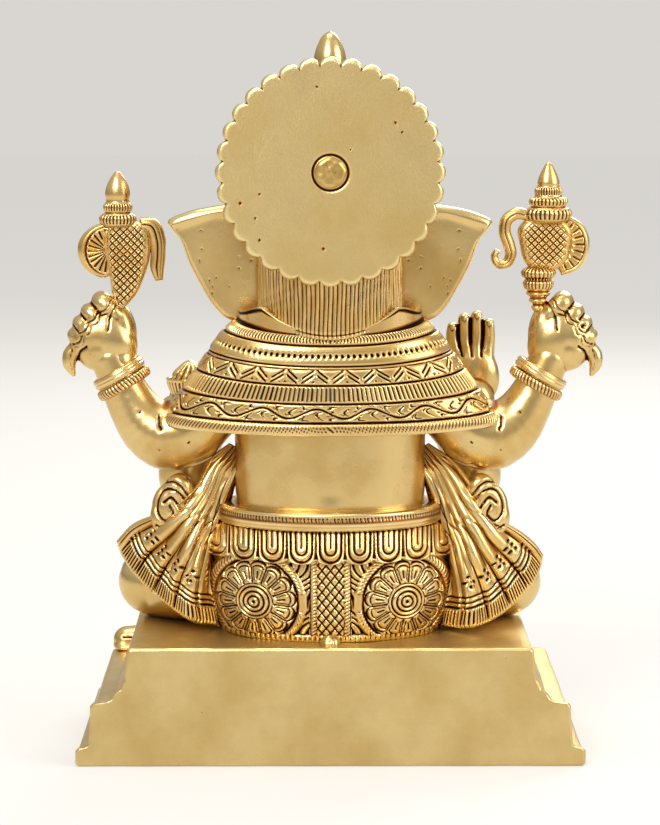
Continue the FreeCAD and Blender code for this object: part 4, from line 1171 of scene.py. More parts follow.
@dataclass
class Ears:
    """The elephant's two ears, spread beside the head.

    Attributes:
        outline: the left ear's outline, as x and z.
        deep: depth of the ear's middle.
        thick: its thickness.
    """

    outline: tuple[tuple[float, float], ...] = (
        (24, 233), (37, 232.6), (50, 231), (61, 228.5), (69, 224.3), (63.8, 216.8), (60.3, 207.4),
        (55.2, 197.6),
        (50.4, 189.5), (44.6, 183.6), (37, 181.4), (29, 183), (22, 190), (20, 210))
    deep: float = 15.5
    thick: float = 4.4

    def make(self) -> None:
        """Makes both ears, with a rolled top edge and a fold in front."""
        generator = np.random.default_rng(11)
        pits = generator.uniform((26, 186, 0.25), (62, 226, 0.42), (16, 3))

        def height(x: Array, z: Array) -> Array:
            """The rolled top edge and the casting's pits."""
            top = np.interp(x, (20, 50, 69), (232, 230, 224))
            level = 0.55 * groove(z - top + 1.6, 1.8)
            for px, pz, wide in pits:
                level = level - 0.3 * groove(np.hypot(x - px, z - pz), wide)
            return level + 0.12 * np.sin(x / 4.7) * np.sin(z / 6.1)

        left = plaque("left_ear_worked", self.outline, (42, 208), self.deep, self.thick, height, 170, 52)

        def dish(points: Array, outward: Array) -> Array:
            """The hollow and the veins in front."""
            x, z = points[:, 0], points[:, 2]
            centre = np.hypot((x - 38) / 20, (z - 208) / 18)
            veins = groove(repeat(x * 0.8 + z * 0.35, 7.5), 0.7) * ease(1.0, 0.7, centre)
            return np.where(outward[:, 1] < -0.4, -1.5 * ease(1.0, 0.2, centre) - 0.4 * veins, 0)

        press(left, dish)
        points = read(left)
        points[:, 1] += 2.0 * np.sin((points[:, 0] - 22) / 46 * math.pi) - 1
        write(left, points)
        right = flip(left, "right_ear_worked")
        for piece, node in ((left, "left_ear"), (right, "right_ear")):
            hand_over(piece, Finish.POLISHED, [node], 0.3, 8)


@dataclass
class Hair:
    """The panel of combed hair between the crown and the shawl.

    Attributes:
        half: half its width.
        strand: width of a strand.
        reach: half depth of its curve.
    """

    half: float = 30.0
    strand: float = 1.86
    reach: float = 28.8

    def make(self) -> None:
        """Makes the panel."""
        low, high = corners("hair_panel")
        sheet = Sheet("hair_panel_worked", 420, 70)
        turn = (sheet.across * 2 - 1) * math.radians(93)
        wide = np.sin(turn)
        foot = low[2] - 2.2 + 9.5 * wide**2
        z = foot + (high[2] - foot) * sheet.down
        points = np.stack([self.half * wide, D.axis + self.reach * np.cos(turn), z], axis=-1)
        along_row = lengths(points)
        wave = 0.25 * np.sin(z / 6.0 + along_row / 9.0)
        strand = repeat(along_row + wave, self.strand) / (self.strand / 2)
        relief = 1.05 * np.sqrt(np.clip(1 - strand**2, 0, 1)) - 0.7
        relief = relief + 0.3 * ease(0.0, 0.06, sheet.down) + 0.18 * np.sin(along_row * 1.3 + z / 5)
        relief = relief - 0.5 * groove(sheet.down * (high[2] - 179) - 1.6, 0.5)
        sheet.lay(points, relief, (0, 1, 0))
        piece = sheet.wall(5)
        smooth_shade(piece)
        hand_over(piece, Finish.CHASED, ["hair_panel"], 0.26, 7)


# ------------------------------------------------------------------ shawl, torso, belt and hips
@dataclass
class Shawl:
    """The shawl over the shoulders, chased in rows.

    Attributes:
        hem: height of its lower edge at the middle of the back.
        top: height of its upper edge there.
    """

    hem: float = 136.6
    top: float = 178.8

    def rows(self, s: Array, z: Array) -> Array:
        """The chased rows.

        Args:
            s: distance round from the middle of the back.
            z: height as it is at the middle of the back.

        Returns:
            Height above the plain surface.
        """
        side = np.sign(s)
        lines = sum(groove(z - at, 0.5) * deep for at, deep in (
            (178.6, 0.7), (174.3, 0.9), (165.7, 0.7), (164.4, 0.5), (157.7, 0.9), (150.0, 0.9), (142.0, 0.8)))
        crescent = repeat(s + side * (0.28 * (z - 176.4) ** 2 - 0.4), 1.9)
        lines = lines + 0.65 * groove(crescent, 0.38) * ease(174.9, 175.4, z) * ease(178.2, 177.8, z)
        lines = lines + 1.1 * groove(np.hypot(repeat(s, 3.12), z - 169.9), 0.85)
        zig = 158.9 + 4.7 * np.abs(repeat(s, 14.3)) / 7.15
        slant = (z - zig) * 0.83
        inside = ease(157.9, 158.4, z) * ease(164.3, 163.9, z)
        run = np.abs(np.abs(repeat(s, 14.3)) - 3.6)
        lines = (lines + inside * 0.85 * ease(3.0, 2.3, run)
                 * (groove(slant - 0.8, 0.42) + groove(slant + 0.8, 0.42)))
        lines = (lines + inside * 0.7 * groove(np.hypot(repeat(s, 2.6), z - 159.3), 0.45)
                 * ease(2.2, 3.2, np.abs(slant)))
        lines = lines + 0.85 * groove(repeat(s, 1.95), 0.36) * ease(150.7, 151.3, z) * ease(157.1, 156.5, z)
        wave = 145.9 + 2.0 * np.sin(s * 2 * math.pi / 21.8)
        band = ease(142.6, 143.0, z) * ease(149.4, 149.0, z)
        lines = lines + band * 0.85 * groove((z - wave) * 0.87, 0.42)
        off = np.abs(z - wave)
        leaf = repeat(s + 0.9 * (off - 2.4) ** 2, 5.45)
        curl = np.minimum(np.abs(leaf), np.abs(leaf - 1.5) + 1.2 * ease(1.6, 2.6, off))
        lines = lines + band * 0.8 * groove(curl, 0.4) * ease(0.8, 1.3, off) * ease(4.4, 3.6, off)
        rope = bead(z - 139.3, 2.3)
        rib = groove(repeat(s + 0.45 * (z - 139.3), 1.35), 0.38)
        bulge = 0.35 * bead(z - 153.8, 3.9) + 0.3 * bead(z - 169.9, 4.2) + 0.3 * bead(z - 161, 3.4)
        return 0.6 * bulge + rope * (1.1 - 0.6 * rib) - 1.25 * np.clip(lines, 0, 1.1)

    def make(self) -> None:
        """Makes the shawl."""
        sheet = Sheet("shawl_worked", 610, 132)
        part = sheet.across * 2 - 1
        turn = np.sign(part) * np.radians(np.interp(np.abs(part), (0, 0.72, 1), (0, 92, 150)))
        level = self.hem + (self.top - self.hem) * np.minimum(sheet.down / 0.93, 1)
        lean = np.sin(turn)
        z = level + lean**2 * (2.6 + 2.4 * ease(0.0, 0.45, sheet.down))
        half = curve((134, 139.5, 148.4, 157, 165.5, 174, 181, 188),
                     (74.5, 73, 67.6, 61.4, 55.2, 49.4, 43.5, 33), z)
        deep = curve((134, 139, 150, 163, 172, 179, 184, 190), (30.6, 30.8, 30.8, 30, 28.4, 26.8, 25.6, 23),
                     z)
        x, y = half * signed_power(np.sin(turn), 0.86), D.axis + deep * signed_power(np.cos(turn), 0.86)
        peak = np.where(np.abs(x) < 29, 9.0 * (x / 29) ** 2, 9.0 * groove(np.abs(x) - 29, 10.5))
        z = z + peak * np.clip((sheet.down - 0.93) / 0.07, 0, 1)
        z = z + 3.0 * ease(100, 150, np.abs(np.degrees(turn))) * (1 - sheet.down)
        points = np.stack([x, y, z], axis=-1)
        s = lengths(points)
        fair = s[sheet.across.shape[0] // 3][None, :] * np.ones_like(s)
        edge = ease(1.0, 0.985, np.abs(part))
        gather = 0.35 * np.sin(fair / 6.5) * ease(0.8, 0.2, sheet.down)
        sheet.lay(points, self.rows(fair, level) * edge + gather, around(turn))
        piece = sheet.wall(3.2)
        smooth_shade(piece)
        hand_over(piece, Finish.CHASED, ["shawl"], 0.3, 12)


@dataclass
class Torso:
    """The bare torso with its round belly, the thread across it, and the belt below.

    Attributes:
        half: half width of the back; not used.
        belt_half: half width and half depth of the belt.
        belt_high: height of the belt.
    """

    half: float = 40.5
    belt_half: tuple[float, float] = (43.1, 34.2)
    belt_high: float = 8.0

    def trunk(self) -> bpy.types.Object:
        """The torso, with a faint hollow down the back, a navel, and the thread."""
        sheet = Sheet("torso_worked", 190, 110)
        turn = sheet.across * 2 * math.pi
        z = 88 + 100 * np.clip((sheet.down - 0.05) / 0.9, 0, 1)
        closing = ease(0.0, 0.05, sheet.down) * ease(1.0, 0.95, sheet.down)
        knots = (88, 97, 107, 117, 128, 140, 150, 158, 167, 176, 182, 188)
        half = curve(knots, (36.5, 39.6, 40.4, 40.6, 40.6, 41, 42.2, 43, 41, 33, 26, 20), z)
        rear = curve(knots, (28.5, 29.6, 30, 30, 29.8, 29.6, 29.4, 28.6, 26.4, 22, 19, 17), z)
        front = curve(knots, (34, 42, 49, 51.5, 48.5, 39.5, 35.5, 34.5, 32, 27, 21, 17), z)
        deep = np.where(np.cos(turn) > 0, rear, front)
        points = np.stack([half * closing * signed_power(np.sin(turn), 0.9), D.axis + deep * closing
                           * signed_power(np.cos(turn), 0.9), z], -1)
        sheet.lay(points, 0.0, around(turn))
        piece = weld(sheet.piece)
        modify(piece, "SMOOTH", factor=0.5, iterations=3)
        smooth_shade(piece)
        thread = [(30, -22, 168), (20, -24, 158), (4, -30, 140), (-14, -36, 122), (-30, -27, 108),
                  (-40, -6, 101)]
        chase(piece, [
            Stroke([(0, 0, 172), (0, 0, 150), (0, 0, 112)], 4.5, 0.5),
            Stroke([(0, -30, 109), (0.5, -30, 106.5)], 1.7, 1.9, 1, -1),
            Stroke([(-15, 0, 98), (0, 0, 101), (15, 0, 98)], 1.3, 0.5, 1, -1),
            Stroke([(-25, 0, 147), (-14, 0, 143.5), (-3, 0, 147), (0, 0, 158)], 2.2, 0.9, 1, -1),
            Stroke([(25, 0, 147), (14, 0, 143.5), (3, 0, 147), (0, 0, 158)], 2.2, 0.9, 1, -1),
            Stroke([(p[0], 0, p[2]) for p in thread], 1.1, -1.2, 1, -1)])
        return hand_over(piece, Finish.POLISHED, ["torso_casting"], 0.8, 4)

    def belt(self) -> bpy.types.Object:
        """The belt: three ridges, the middle one ribbed."""
        low, high = corners("waist_belt")
        middle = (0.0, D.axis, float(low[2] + high[2]) / 2)

        def ring(turn: Array) -> Array:
            """The middle of the belt's section."""
            return np.stack([self.belt_half[0] * np.sin(turn), D.axis + self.belt_half[1] * np.cos(turn),
                             np.full(turn.shape, middle[2])], axis=-1)

        def relief(s: Array, t: Array) -> Array:
            """The ridges, one of them ribbed."""
            ridges = (1.0 * (bead(t - 0.7, 0.28) + bead(t + 0.72, 0.26) + bead(t + 0.22, 0.24)) + 0.9
                      * bead(t - 0.24, 0.2))
            ribs = groove(repeat(s + 0.4 * t, 1.4), 0.36) * bead(t - 0.24, 0.2)
            return ridges - 0.75 * ribs - 0.55

        piece = hoop("waist_belt_worked", 500, 42, ring, (4.6, self.belt_high / 2 + 0.3), (0, 0, 1), relief,
                     middle)
        return hand_over(piece, Finish.CHASED, ["waist_belt"], 0.3, 9)

    def make(self) -> None:
        """Makes the torso and the belt."""
        self.trunk()
        self.belt()


@dataclass
class Hips:
    """The hips in their brocade, with two flowers, a centre strip, and petals under the belt.

    Attributes:
        centre: middle of the rounded form.
        half: its half sizes.
        flower: x and z of the left flower.
        petals: petals on a flower.
    """

    centre: Point = (0.0, 16.0, 72.0)
    half: Point = (52.0, 42.0, 48.0)
    flower: tuple[float, float] = (31.4, 67.0)
    petals: int = 14

    def brocade(self, x: Array, z: Array) -> Array:
        """Height of the chasing over the plain form, from place across and height."""
        wide = np.abs(x)
        out, up = wide - self.flower[0], z - self.flower[1]
        reach, angle = np.hypot(out, up), np.arctan2(out, up)
        part = repeat(angle + 0.1, 2 * math.pi / self.petals) * self.petals / math.pi
        rim = 14.2 + 2.7 * np.sqrt(np.clip(1 - part**2, 0, 1))
        aside = np.abs(part) * math.pi / self.petals * reach
        wall = (1 - np.abs(part)) * math.pi / self.petals * reach
        on = ease(17.4, 17.0, reach)
        inner = np.minimum(np.abs(reach - (rim - 1.9)), np.abs(wall - 0.95) + 4
                           * ease(rim - 1.5, rim - 0.5, reach))
        lines = np.maximum.reduce([
            1.0 * groove(reach - rim, 0.5), 0.95 * groove(wall, 0.42) * ease(7.6, 8.2, reach)
            * ease(rim, rim - 0.6, reach),
            0.6 * groove(inner, 0.33) * ease(8.4, 9.2, reach) * ease(rim - 1.2, rim - 1.7, reach),
            0.6 * groove(aside, 0.36) * ease(9.2, 9.8, reach) * ease(13.2, 12.4, reach)])
        boss = ease(8.0, 7.2, reach)
        rings = sum(groove(reach - at, 0.42) for at in (2.3, 4.2, 6.2, 7.7)) + 1.2 * groove(reach, 0.7)
        flower = (0.9 * bead(reach, 17.4) + 0.5 * on + 1.0 * bead(reach, 7.8) * boss
                  - 1.3 * on * lines * (1 - boss) - 1.1 * np.clip(rings, 0, 1) * boss - 0.5
                  * groove(reach - 17.3, 0.8))
        arc = (wide > self.flower[0]) | (up < -4) | (up > 4)
        rope = bead(reach - 19.7, 1.45) * arc
        rope_relief = rope * (0.9 - 0.6 * groove(repeat(angle * 19.7 + reach, 1.7), 0.42))
        beyond = ease(21.2, 21.8, reach) * (wide > 8.8)
        hatch = groove(repeat(wide * 0.72 + z * 0.7 + 1.2 * np.sin(z / 2.4), 2.6), 0.45)
        strip = ease(8.8, 8.4, wide)
        cord = bead(wide - 7.0, 1.25)
        ribs = groove(repeat(z + 0.5 * x, 1.5), 0.4)
        diagonal = np.maximum(groove(repeat(x + 0.8 * z, 3.6), 0.42), groove(repeat(x - 0.8 * z, 3.6), 0.42))
        middle = ease(5.7, 5.3, wide)
        centre = (0.9 * cord - 0.75 * cord * ribs + middle * (0.4 - 1.0 * diagonal) - 0.6
                  * groove(wide - 8.6, 0.4))
        gaps = 0.5 * groove(reach - 18.0, 0.45) * (1 - strip)
        foot = bead(z - D.seat - 1.6, 1.9)
        level = np.where(strip > 0.5, centre, flower * ease(18.0, 17.6, reach) + rope_relief - 0.85
                         * beyond * hatch - 0.35 * beyond
                         - gaps)
        return np.where(z < D.seat + 3.0, 0.9 * foot * (1 - 0.5 * groove(repeat(x, 2.1), 0.42)), level)

    def form(self) -> bpy.types.Object:
        """The rounded hips."""
        sheet = Sheet("hips_casting_worked", 500, 150)
        turn = (sheet.across * 2 - 1) * math.radians(118)
        z = D.seat + (D.waist + 0.5 - D.seat) * sheet.down
        ring = np.sqrt(np.clip(1 - ((z - self.centre[2]) / self.half[2]) ** 2, 0.05, 1))
        x = self.half[0] * ring * np.sin(turn)
        y = self.centre[1] + self.half[1] * ring * np.cos(turn)
        sheet.lay(np.stack([x, y, z], axis=-1), self.brocade(x, z)
                  * ease(1.0, 0.97, np.abs(sheet.across * 2 - 1)),
                  around(turn))
        piece = sheet.wall(4)
        lap = Clay("lap")
        lap.ball((0, 2, 70), (46, 34, 22)).ball((0, 16, 84), (45, 34, 20))
        inner = lap.skin(1.5, 8)
        press(inner, lambda p, n: -0.9
              * groove(repeat(np.hypot(p[:, 0], (p[:, 2] - 104) * 1.15) + 0.5 * np.sin(p[:, 0] / 5), 6.4),
                       1.1)
              * ease(0.0, -0.3, n[:, 1]))
        points = read(inner)
        points[:, 2] = np.clip(points[:, 2], D.seat + 0.2, D.waist + 1)
        write(inner, points)
        piece = join([piece, inner])
        piece.name = piece.data.name = "hips_casting_worked"
        smooth_shade(piece)
        return hand_over(piece, Finish.CHASED, ["hips_casting"], 0.3, 14)

    def band(self) -> bpy.types.Object:
        """The row of petals that hangs from the belt."""
        low, high = corners("petal_band")
        sheet = Sheet("petal_band_worked", 520, 70)
        turn = (sheet.across * 2 - 1) * math.radians(100)
        pitch = 11.9
        z_level = low[2] - 0.4 + (high[2] - low[2] + 0.4) * sheet.down
        ring = np.sqrt(np.clip(1 - ((z_level - self.centre[2]) / self.half[2]) ** 2, 0.05, 1))
        x = (self.half[0] * ring + 1.2) * np.sin(turn)
        part = repeat(x, pitch) / (pitch / 2)
        scallop = 2.3 * (1 - np.sqrt(np.clip(1 - part**2 * 0.96, 0, 1)))
        z = z_level + scallop * (1 - sheet.down)
        y = self.centre[1] + (self.half[1] * ring + 1.2) * np.cos(turn)
        up = z - low[2]

        def u_groove(half: float, foot: float) -> Array:
            """Distance from a U-shaped line whose round end is down."""
            return np.where(up > foot + half, np.abs(np.abs(part) * pitch / 2 - half),
                            np.abs(np.hypot(part * pitch / 2, up - foot - half) - half))

        lines = np.maximum.reduce([
            1.25 * groove(u_groove(4.5, 0.4), 0.55), 1.0 * groove(u_groove(2.3, 3.2), 0.5),
            0.7 * groove(np.abs(part) * pitch / 2, 0.4) * ease(5.2, 6.2, up), 0.6
            * groove(pitch / 2 - np.abs(part) * pitch / 2, 0.4)])
        relief = 1.8 + 0.5 * bead(part, 1.0) - lines - 0.6 * groove(high[2] - z - 0.6, 0.5)
        sheet.lay(np.stack([x, y, z], axis=-1), relief, around(turn))
        piece = sheet.wall(4.5)
        smooth_shade(piece)
        return hand_over(piece, Finish.CHASED, ["petal_band"], 0.28, 12)

    def make(self) -> None:
        """Makes the hips and the band."""
        self.form()
        self.band()


@dataclass
class Sash:
    """The pleated sash ends that spread like fans beside the hips, and the knots above them.

    Attributes:
        left_hem: the left fan's hem from its tip to the seat, as x and z.
        left_edge: its upper edge from the armpit to the tip.
        right_hem: the right fan's hem.
        right_edge: its upper edge.
        inner: the edge of either beside the hips.
        thick: thickness of a fan.
    """

    left_hem: tuple[tuple[float, float], ...] = (
        (91.5, 87.6), (90.0, 82.6), (86.6, 76.9), (80.6, 70.1), (72.5, 63.3), (65.2, 58.1), (57.1, 53.7),
        (46.5, 50.9))
    left_edge: tuple[tuple[float, float], ...] = (
        (43.1, 130.2), (50.3, 124.7), (57.1, 113.1), (63.1, 106.8), (74.2, 100.4), (84.6, 95.2), (91.5, 87.6))
    right_hem: tuple[tuple[float, float], ...] = (
        (91.4, 81.5), (90.8, 76.9), (87.8, 70.1), (81.0, 62.8), (73.3, 56.4), (64.8, 52.6), (54.6, 50.6),
        (46.5, 50.6))
    right_edge: tuple[tuple[float, float], ...] = (
        (42.2, 130.2), (53.7, 122.1), (64.8, 107.2), (70.8, 99.9), (82.7, 91.4), (87.8, 86.7), (91.4, 81.5))
    inner: tuple[tuple[float, float], ...] = (
        (36.0, 126.0), (43.0, 112.0), (47.0, 97.0), (49.6, 82.0), (50.6, 66.0), (46.5, 50.8))
    thick: float = 3.4

    def fan(self, name: str, side: int, hem: Sequence[Sequence[float]],
            top: Sequence[Sequence[float]]) -> None:
        """Makes one fan.

        Args:
            name: the CAD node's name.
            side: 1 for the deity's left and -1 for its right.
            hem: its hem, as distance out and height.
            top: its upper edge.
        """
        inner_start, inner_end = np.array(self.inner[0]), np.array(hem[-1])

        def flat(u: Array, t: Array) -> Array:
            """Where a place on the fan is, as distance out and height."""
            start = np.asarray(top[0]) + (inner_start - np.asarray(top[0])) * u[..., None]
            end = through(hem, u)
            straight = start + (end - start) * t[..., None]
            bend = (through(top, t)
                    - (np.asarray(top[0]) + (np.asarray(hem[0]) - np.asarray(top[0])) * t[..., None]))
            tuck = through(self.inner, t) - (inner_start + (inner_end - inner_start) * t[..., None])
            return straight + bend * ((1 - u) ** 2.2)[..., None] + tuck * (u**1.6)[..., None]

        def surface(across: Array, down: Array) -> Array:
            """The fan's middle surface, which leans and waves."""
            at = flat(across, down)
            out, z = at[..., 0], at[..., 1]
            deep = 37.0 - 0.42 * (out - 45) - 13.0 * ease(61.0, 47.0, out)
            deep = 21 + (deep - 21) * ease(0.0, 0.75, down)
            deep = (deep + 1.4 * np.sin(across * 5 * 2 * math.pi + 0.5) * ease(0.06, 0.3, down)
                    * ease(1.0, 0.6, down) * ease(0.06, 0.14, across))
            return np.stack([side * out, deep, z], axis=-1)

        holes = [flat(np.array(u), np.array(0.735)) for u in (0.19, 0.38, 0.57, 0.75)]

        def height(across: Array, down: Array, middle: Array) -> Array:
            """The folds, rosettes, hem lines and fringe."""
            out, z = np.abs(middle[..., 0]), middle[..., 2]
            panel = (across - 0.09) / 0.185
            step = (panel % 1) * 0.9 * ease(0.08, 0.3, down) * (panel > 0)
            folds = sum(groove(across - at, 0.012 + 0.014 * (1 - down))
                        * ease(end + 0.05, end - 0.08, down) * deep * 1.35
                        for at, end, deep in ((0.095, 0.93, 1.1), (0.275, 0.98, 1.3), (0.46, 0.98, 1.3),
                                              (0.645, 0.98, 1.3),
                                              (0.83, 0.98, 1.2), (0.36, 0.62, 0.8), (0.55, 0.6, 0.8),
                                              (0.2, 0.55, 0.7),
                                              (0.74, 0.6, 0.8), (0.92, 0.8, 0.8)))
            rosette = np.zeros_like(out)
            for cx, cz in holes:
                rosette = np.maximum(rosette, groove(np.hypot(out - cx, z - cz), 0.7))
                for k in range(6):
                    a = k * math.pi / 3 + 0.3
                    rosette = np.maximum(rosette,
                                         groove(np.hypot(out - cx - 2.3 * math.cos(a), z - cz - 2.3
                                                         * math.sin(a)), 0.62))
            plain = ease(0.08, 0.1, across)
            hem_lines = sum(groove(down - at, 0.0065) for at in (0.815, 0.845, 0.875))
            length = across * 86
            fringe = groove(repeat(length, 2.05), 0.45) * ease(0.888, 0.9, down)
            curl = (groove(repeat(length + 3 * np.sin(down * 14), 4.1), 0.4) * ease(0.25, 0.34, down)
                    * ease(0.62, 0.52, down))
            return (step + 0.5 - folds - plain * (1.2 * rosette + 1.0 * hem_lines + 1.1 * fringe + 0.5 * curl)
                    - 0.5 * groove(across - 0.045, 0.006) * ease(0.1, 0.2, down))

        def inward(across: Array, down: Array) -> Array:
            """How far in from the fan's edges each place is."""
            return np.minimum(np.minimum(across * 60 * (0.15 + down), (1 - down) * 78), down * 60 + 1.2)

        piece = two_faced(f"{name}_worked", 276, 124, surface, (0, 1, 0), height, inward, self.thick)
        hand_over(piece, Finish.CHASED, [name], 0.3, 14)

    def knot(self, name: str, side: int) -> None:
        """Makes one folded knot below an elbow."""
        low, high = corners(name)
        middle = (low + high) / 2 + (-side * 0.5, -5.0, 0.5)
        clay = Clay(f"{name}_worked")
        clay.ball(middle + (0, 2, -1), (9.6, 6.4, 12.5))
        clay.ball(middle + (-side * 2.5, 3, 8), (6.6, 5.2, 7.0))
        clay.ball(middle + (side * 4, 3, -6), (5.8, 5.2, 8.5), (0, side * 20, 0))
        piece = clay.skin(0.7, 6)
        x, z = middle[0], middle[2]
        lines = [[(-5, -11), (-7.4, -3), (-5, 4), (-1, 8), (3.6, 8.4), (6.6, 4), (6.4, -2), (3, -5),
                  (0, -2), (1.6, 1.6)],
                 [(-2.6, -12), (-4.4, -5), (-2.4, 1.4), (1.4, 5), (4, 3)],
                 [(0, -12), (-0.8, -8), (2, -6.6), (6, -8)],
                 [(-4, 9.5), (0, 12), (4.4, 11)], [(-7, 5), (-3.4, 10)], [(3.4, -12), (4.6, -9), (7.6, -7)]]
        chase(piece, [Stroke([(x + side * a, 0, z + b) for a, b in line], 0.6, 1.0) for line in lines]
              + [Stroke([(x + side * a, 0, z + b) for a, b in line], 0.7, 0.9, 1, -1) for line in lines[:3]])
        hand_over(piece, Finish.CHASED, [name], 0.36, 8)

    def make(self) -> None:
        """Makes both fans and both knots."""
        self.fan("left_sash_fan", 1, self.left_hem, self.left_edge)
        self.fan("right_sash_fan", -1, self.right_hem, self.right_edge)
        self.knot("left_sash_fold", 1)
        self.knot("right_sash_fold", -1)


# ------------------------------------------------------------------ rear arms and hands
def bangle(name: str, at: Sequence[float], radius: float, wire: float, lean: Sequence[float],
           ribs: float) -> None:
    """Makes one bangle.

    Args:
        name: the CAD node's name.
        at: its middle.
        radius: from its middle to its wire.
        wire: half the wire's thickness.
        lean: the direction of the limb.
        ribs: spacing of the ribs cut in it, or 0 for one groove.
    """
    axis = np.asarray(lean, float) / np.linalg.norm(lean)
    first = np.cross(axis, (0.0, 1.0, 0.0))
    first /= np.linalg.norm(first)
    second = np.cross(axis, first)

    def ring(turn: Array) -> Array:
        """The middle of the wire."""
        return np.asarray(at) + radius * (np.cos(turn)[..., None] * first + np.sin(turn)[..., None] * second)

    def relief(s: Array, t: Array) -> Array:
        """The ribs, or one groove."""
        if ribs:
            return -0.65 * groove(repeat(s + 0.5 * t, ribs), 0.4)
        return -0.6 * groove(t, 0.16) - 0.35 * groove(np.abs(t) - 0.6, 0.12)

    piece = hoop(f"{name}_worked", 220, 30, ring, (wire, wire * 1.05), axis, relief, at)
    hand_over(piece, Finish.CHASED, [name], 0.24, 5)


@dataclass
class RearArms:
    """The two raised rear arms, with their bangles and fists.

    Attributes:
        path: middle of the left arm from shoulder to wrist.
        girth: its radius at each point.
    """

    path: tuple[Point, ...] = (
        (38, 18, 158), (46, 18, 150), (54, 18, 142), (62, 18, 134.5), (69.5, 18, 133), (76.5, 18, 136.4),
        (81.8, 18, 142.4), (86.3, 18, 150), (90.2, 18, 158.4), (93.6, 18, 166))
    girth: tuple[float, ...] = (14.0, 14.2, 14.5, 15.2, 14.8, 13.2, 11.4, 10.0, 9.0, 8.5)

    def arm(self) -> bpy.types.Object:
        """The left arm."""
        clay = Clay("left_rear_arm_worked").limb(self.path, self.girth, 22)
        piece = clay.skin(0.9, 8)
        generator = np.random.default_rng(5)
        chase(piece, [Stroke([(72.6, 0, 142.6), (72.3, 0, 140), (71.8, 0, 137.4)], 0.5, 1.3)]
              + [Stroke([(x, 0, z), (x + 0.4, 0, z + 0.3)], 0.4, 0.4) for x, z in
                 generator.uniform((58, 120), (86, 150), (3, 2))])
        return piece

    def fist(self) -> bpy.types.Object:
        """The left fist, seen from behind: round knuckles stepping down, and a leaf-shaped thumb."""
        low, high = corners("left_rear_hand")
        cx, cz = 97.5, float(low[2] + high[2]) / 2 - 2.5
        clay = Clay("left_rear_hand_worked")
        clay.ball((cx - 0.5, 18, cz - 2), (12.4, 8.2, 15.2), (0, 24, 0))
        clay.ball((cx - 4.6, 18, cz - 11), (8.4, 7.8, 9.5))
        clay.ball((cx - 6.5, 17, cz + 3), (6.4, 6.6, 12.0), (0, 10, 0))
        fingers = (((98.6, 189.8), 4.7), ((104.0, 185.4), 3.9), ((107.8, 180.6), 3.6), ((110.4, 175.6), 3.2))
        clay.ball((cx + 3.4, 17.6, cz - 0.5), (12.6, 8.4, 11.6),
                  (0, 44, 0)).ball((cx + 2.6, 17.8, cz - 5.5), (10.6, 8.2, 9.4))
        for (x, z), radius in fingers:
            clay.limb([(x - 5.2, 18.6, z - 5.2), (x, 19.0, z), (x + 0.8, 13.6, z + 0.4),
                       (x - 2.8, 9.8, z - 3.4)],
                      [radius, radius, radius * 0.97, radius * 0.85], 8)
        clay.limb([(108.4, 17, 171), (112.4, 17.4, 168.4), (113.4, 18, 164.4), (111.6, 18, 159.4)],
                  [3.8, 3.5, 3.0, 1.2], 8)
        piece = clay.skin(0.62, 5)
        strokes = [Stroke([(112.0, 0, 170), (112.8, 0, 165.6), (111.9, 0, 161.6)], 0.3, 0.35),
                   Stroke([(105.6, 0, 171.8), (108.6, 0, 169.4), (109.6, 0, 165.0), (109.4, 0, 162.0)], 0.5,
                          1.1),
                   Stroke([(92.4, 0, 190), (95.4, 0, 184.8), (96.2, 0, 179)], 0.5, 0.55)]
        for (x, z), radius in fingers:
            for back, deep in ((1.5, 0.6), (2.8, 0.4)):
                strokes.append(Stroke([(x - 0.66 * back - 0.6 * radius, 0, z - 0.74 * back + 0.66 * radius),
                                       (x - 1.1 * back, 0, z - 1.2 * back),
                                       (x - 0.66 * back + 0.66 * radius, 0, z - 0.74 * back - 0.6
                                        * radius)], 0.36, deep))
        for first, second in zip(fingers, fingers[1:]):
            (ax, az), (bx, bz) = first[0], second[0]
            mx, mz = (ax + bx) / 2, (az + bz) / 2
            strokes.append(Stroke([(mx + 3.6, 0, mz + 3.6), (mx + 1.2, 0, mz + 1.2),
                                   (mx + 0.2, 0, mz + 0.2)], 0.42, 0.8))
            strokes.append(Stroke([(mx + 3.6, 0, mz + 3.6), (mx, 0, mz), (mx - 4.6, 0, mz - 4.4)], 0.5, 1.1,
                                  1, -1))
        strokes.append(Stroke([(96, 0, 186), (104, 0, 179), (108, 0, 172)], 0.6, 0.8, 1, -1))
        return chase(piece, strokes)

    def make(self) -> None:
        """Makes both arms, fists and four bangles, and finishes the dowels."""
        arm, fist = self.arm(), self.fist()
        for piece, node, depth in ((arm, "rear_arm", 0.3), (fist, "rear_hand", 0.32)):
            copy = flip(piece, f"right_{node}_worked")
            if node == "rear_hand":
                write(piece, read(piece) - (2.2, 0, 0))
                chase(copy, [Stroke([(-107.6, 0, 180.6), (-107.3, 0, 180.6)], 0.8, 1.3)])
            hand_over(piece, Finish.POLISHED, [f"left_{node}"], depth)
            hand_over(copy, Finish.POLISHED, [f"right_{node}"], depth)
        for side, word in ((1, "left"), (-1, "right")):
            lean = (side * 0.5, 0.0, 0.87)
            bangle(f"{word}_upper_bangle", (side * 90.0, 18, 160.0), 9.9, 2.2, lean, 0)
            bangle(f"{word}_lower_bangle", (side * 87.9, 18, 155.6), 10.4, 2.1, lean, 1.5)
        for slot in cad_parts["shoulder_pins"].material_slots:
            slot.material = MATERIALS[Finish.PINS]


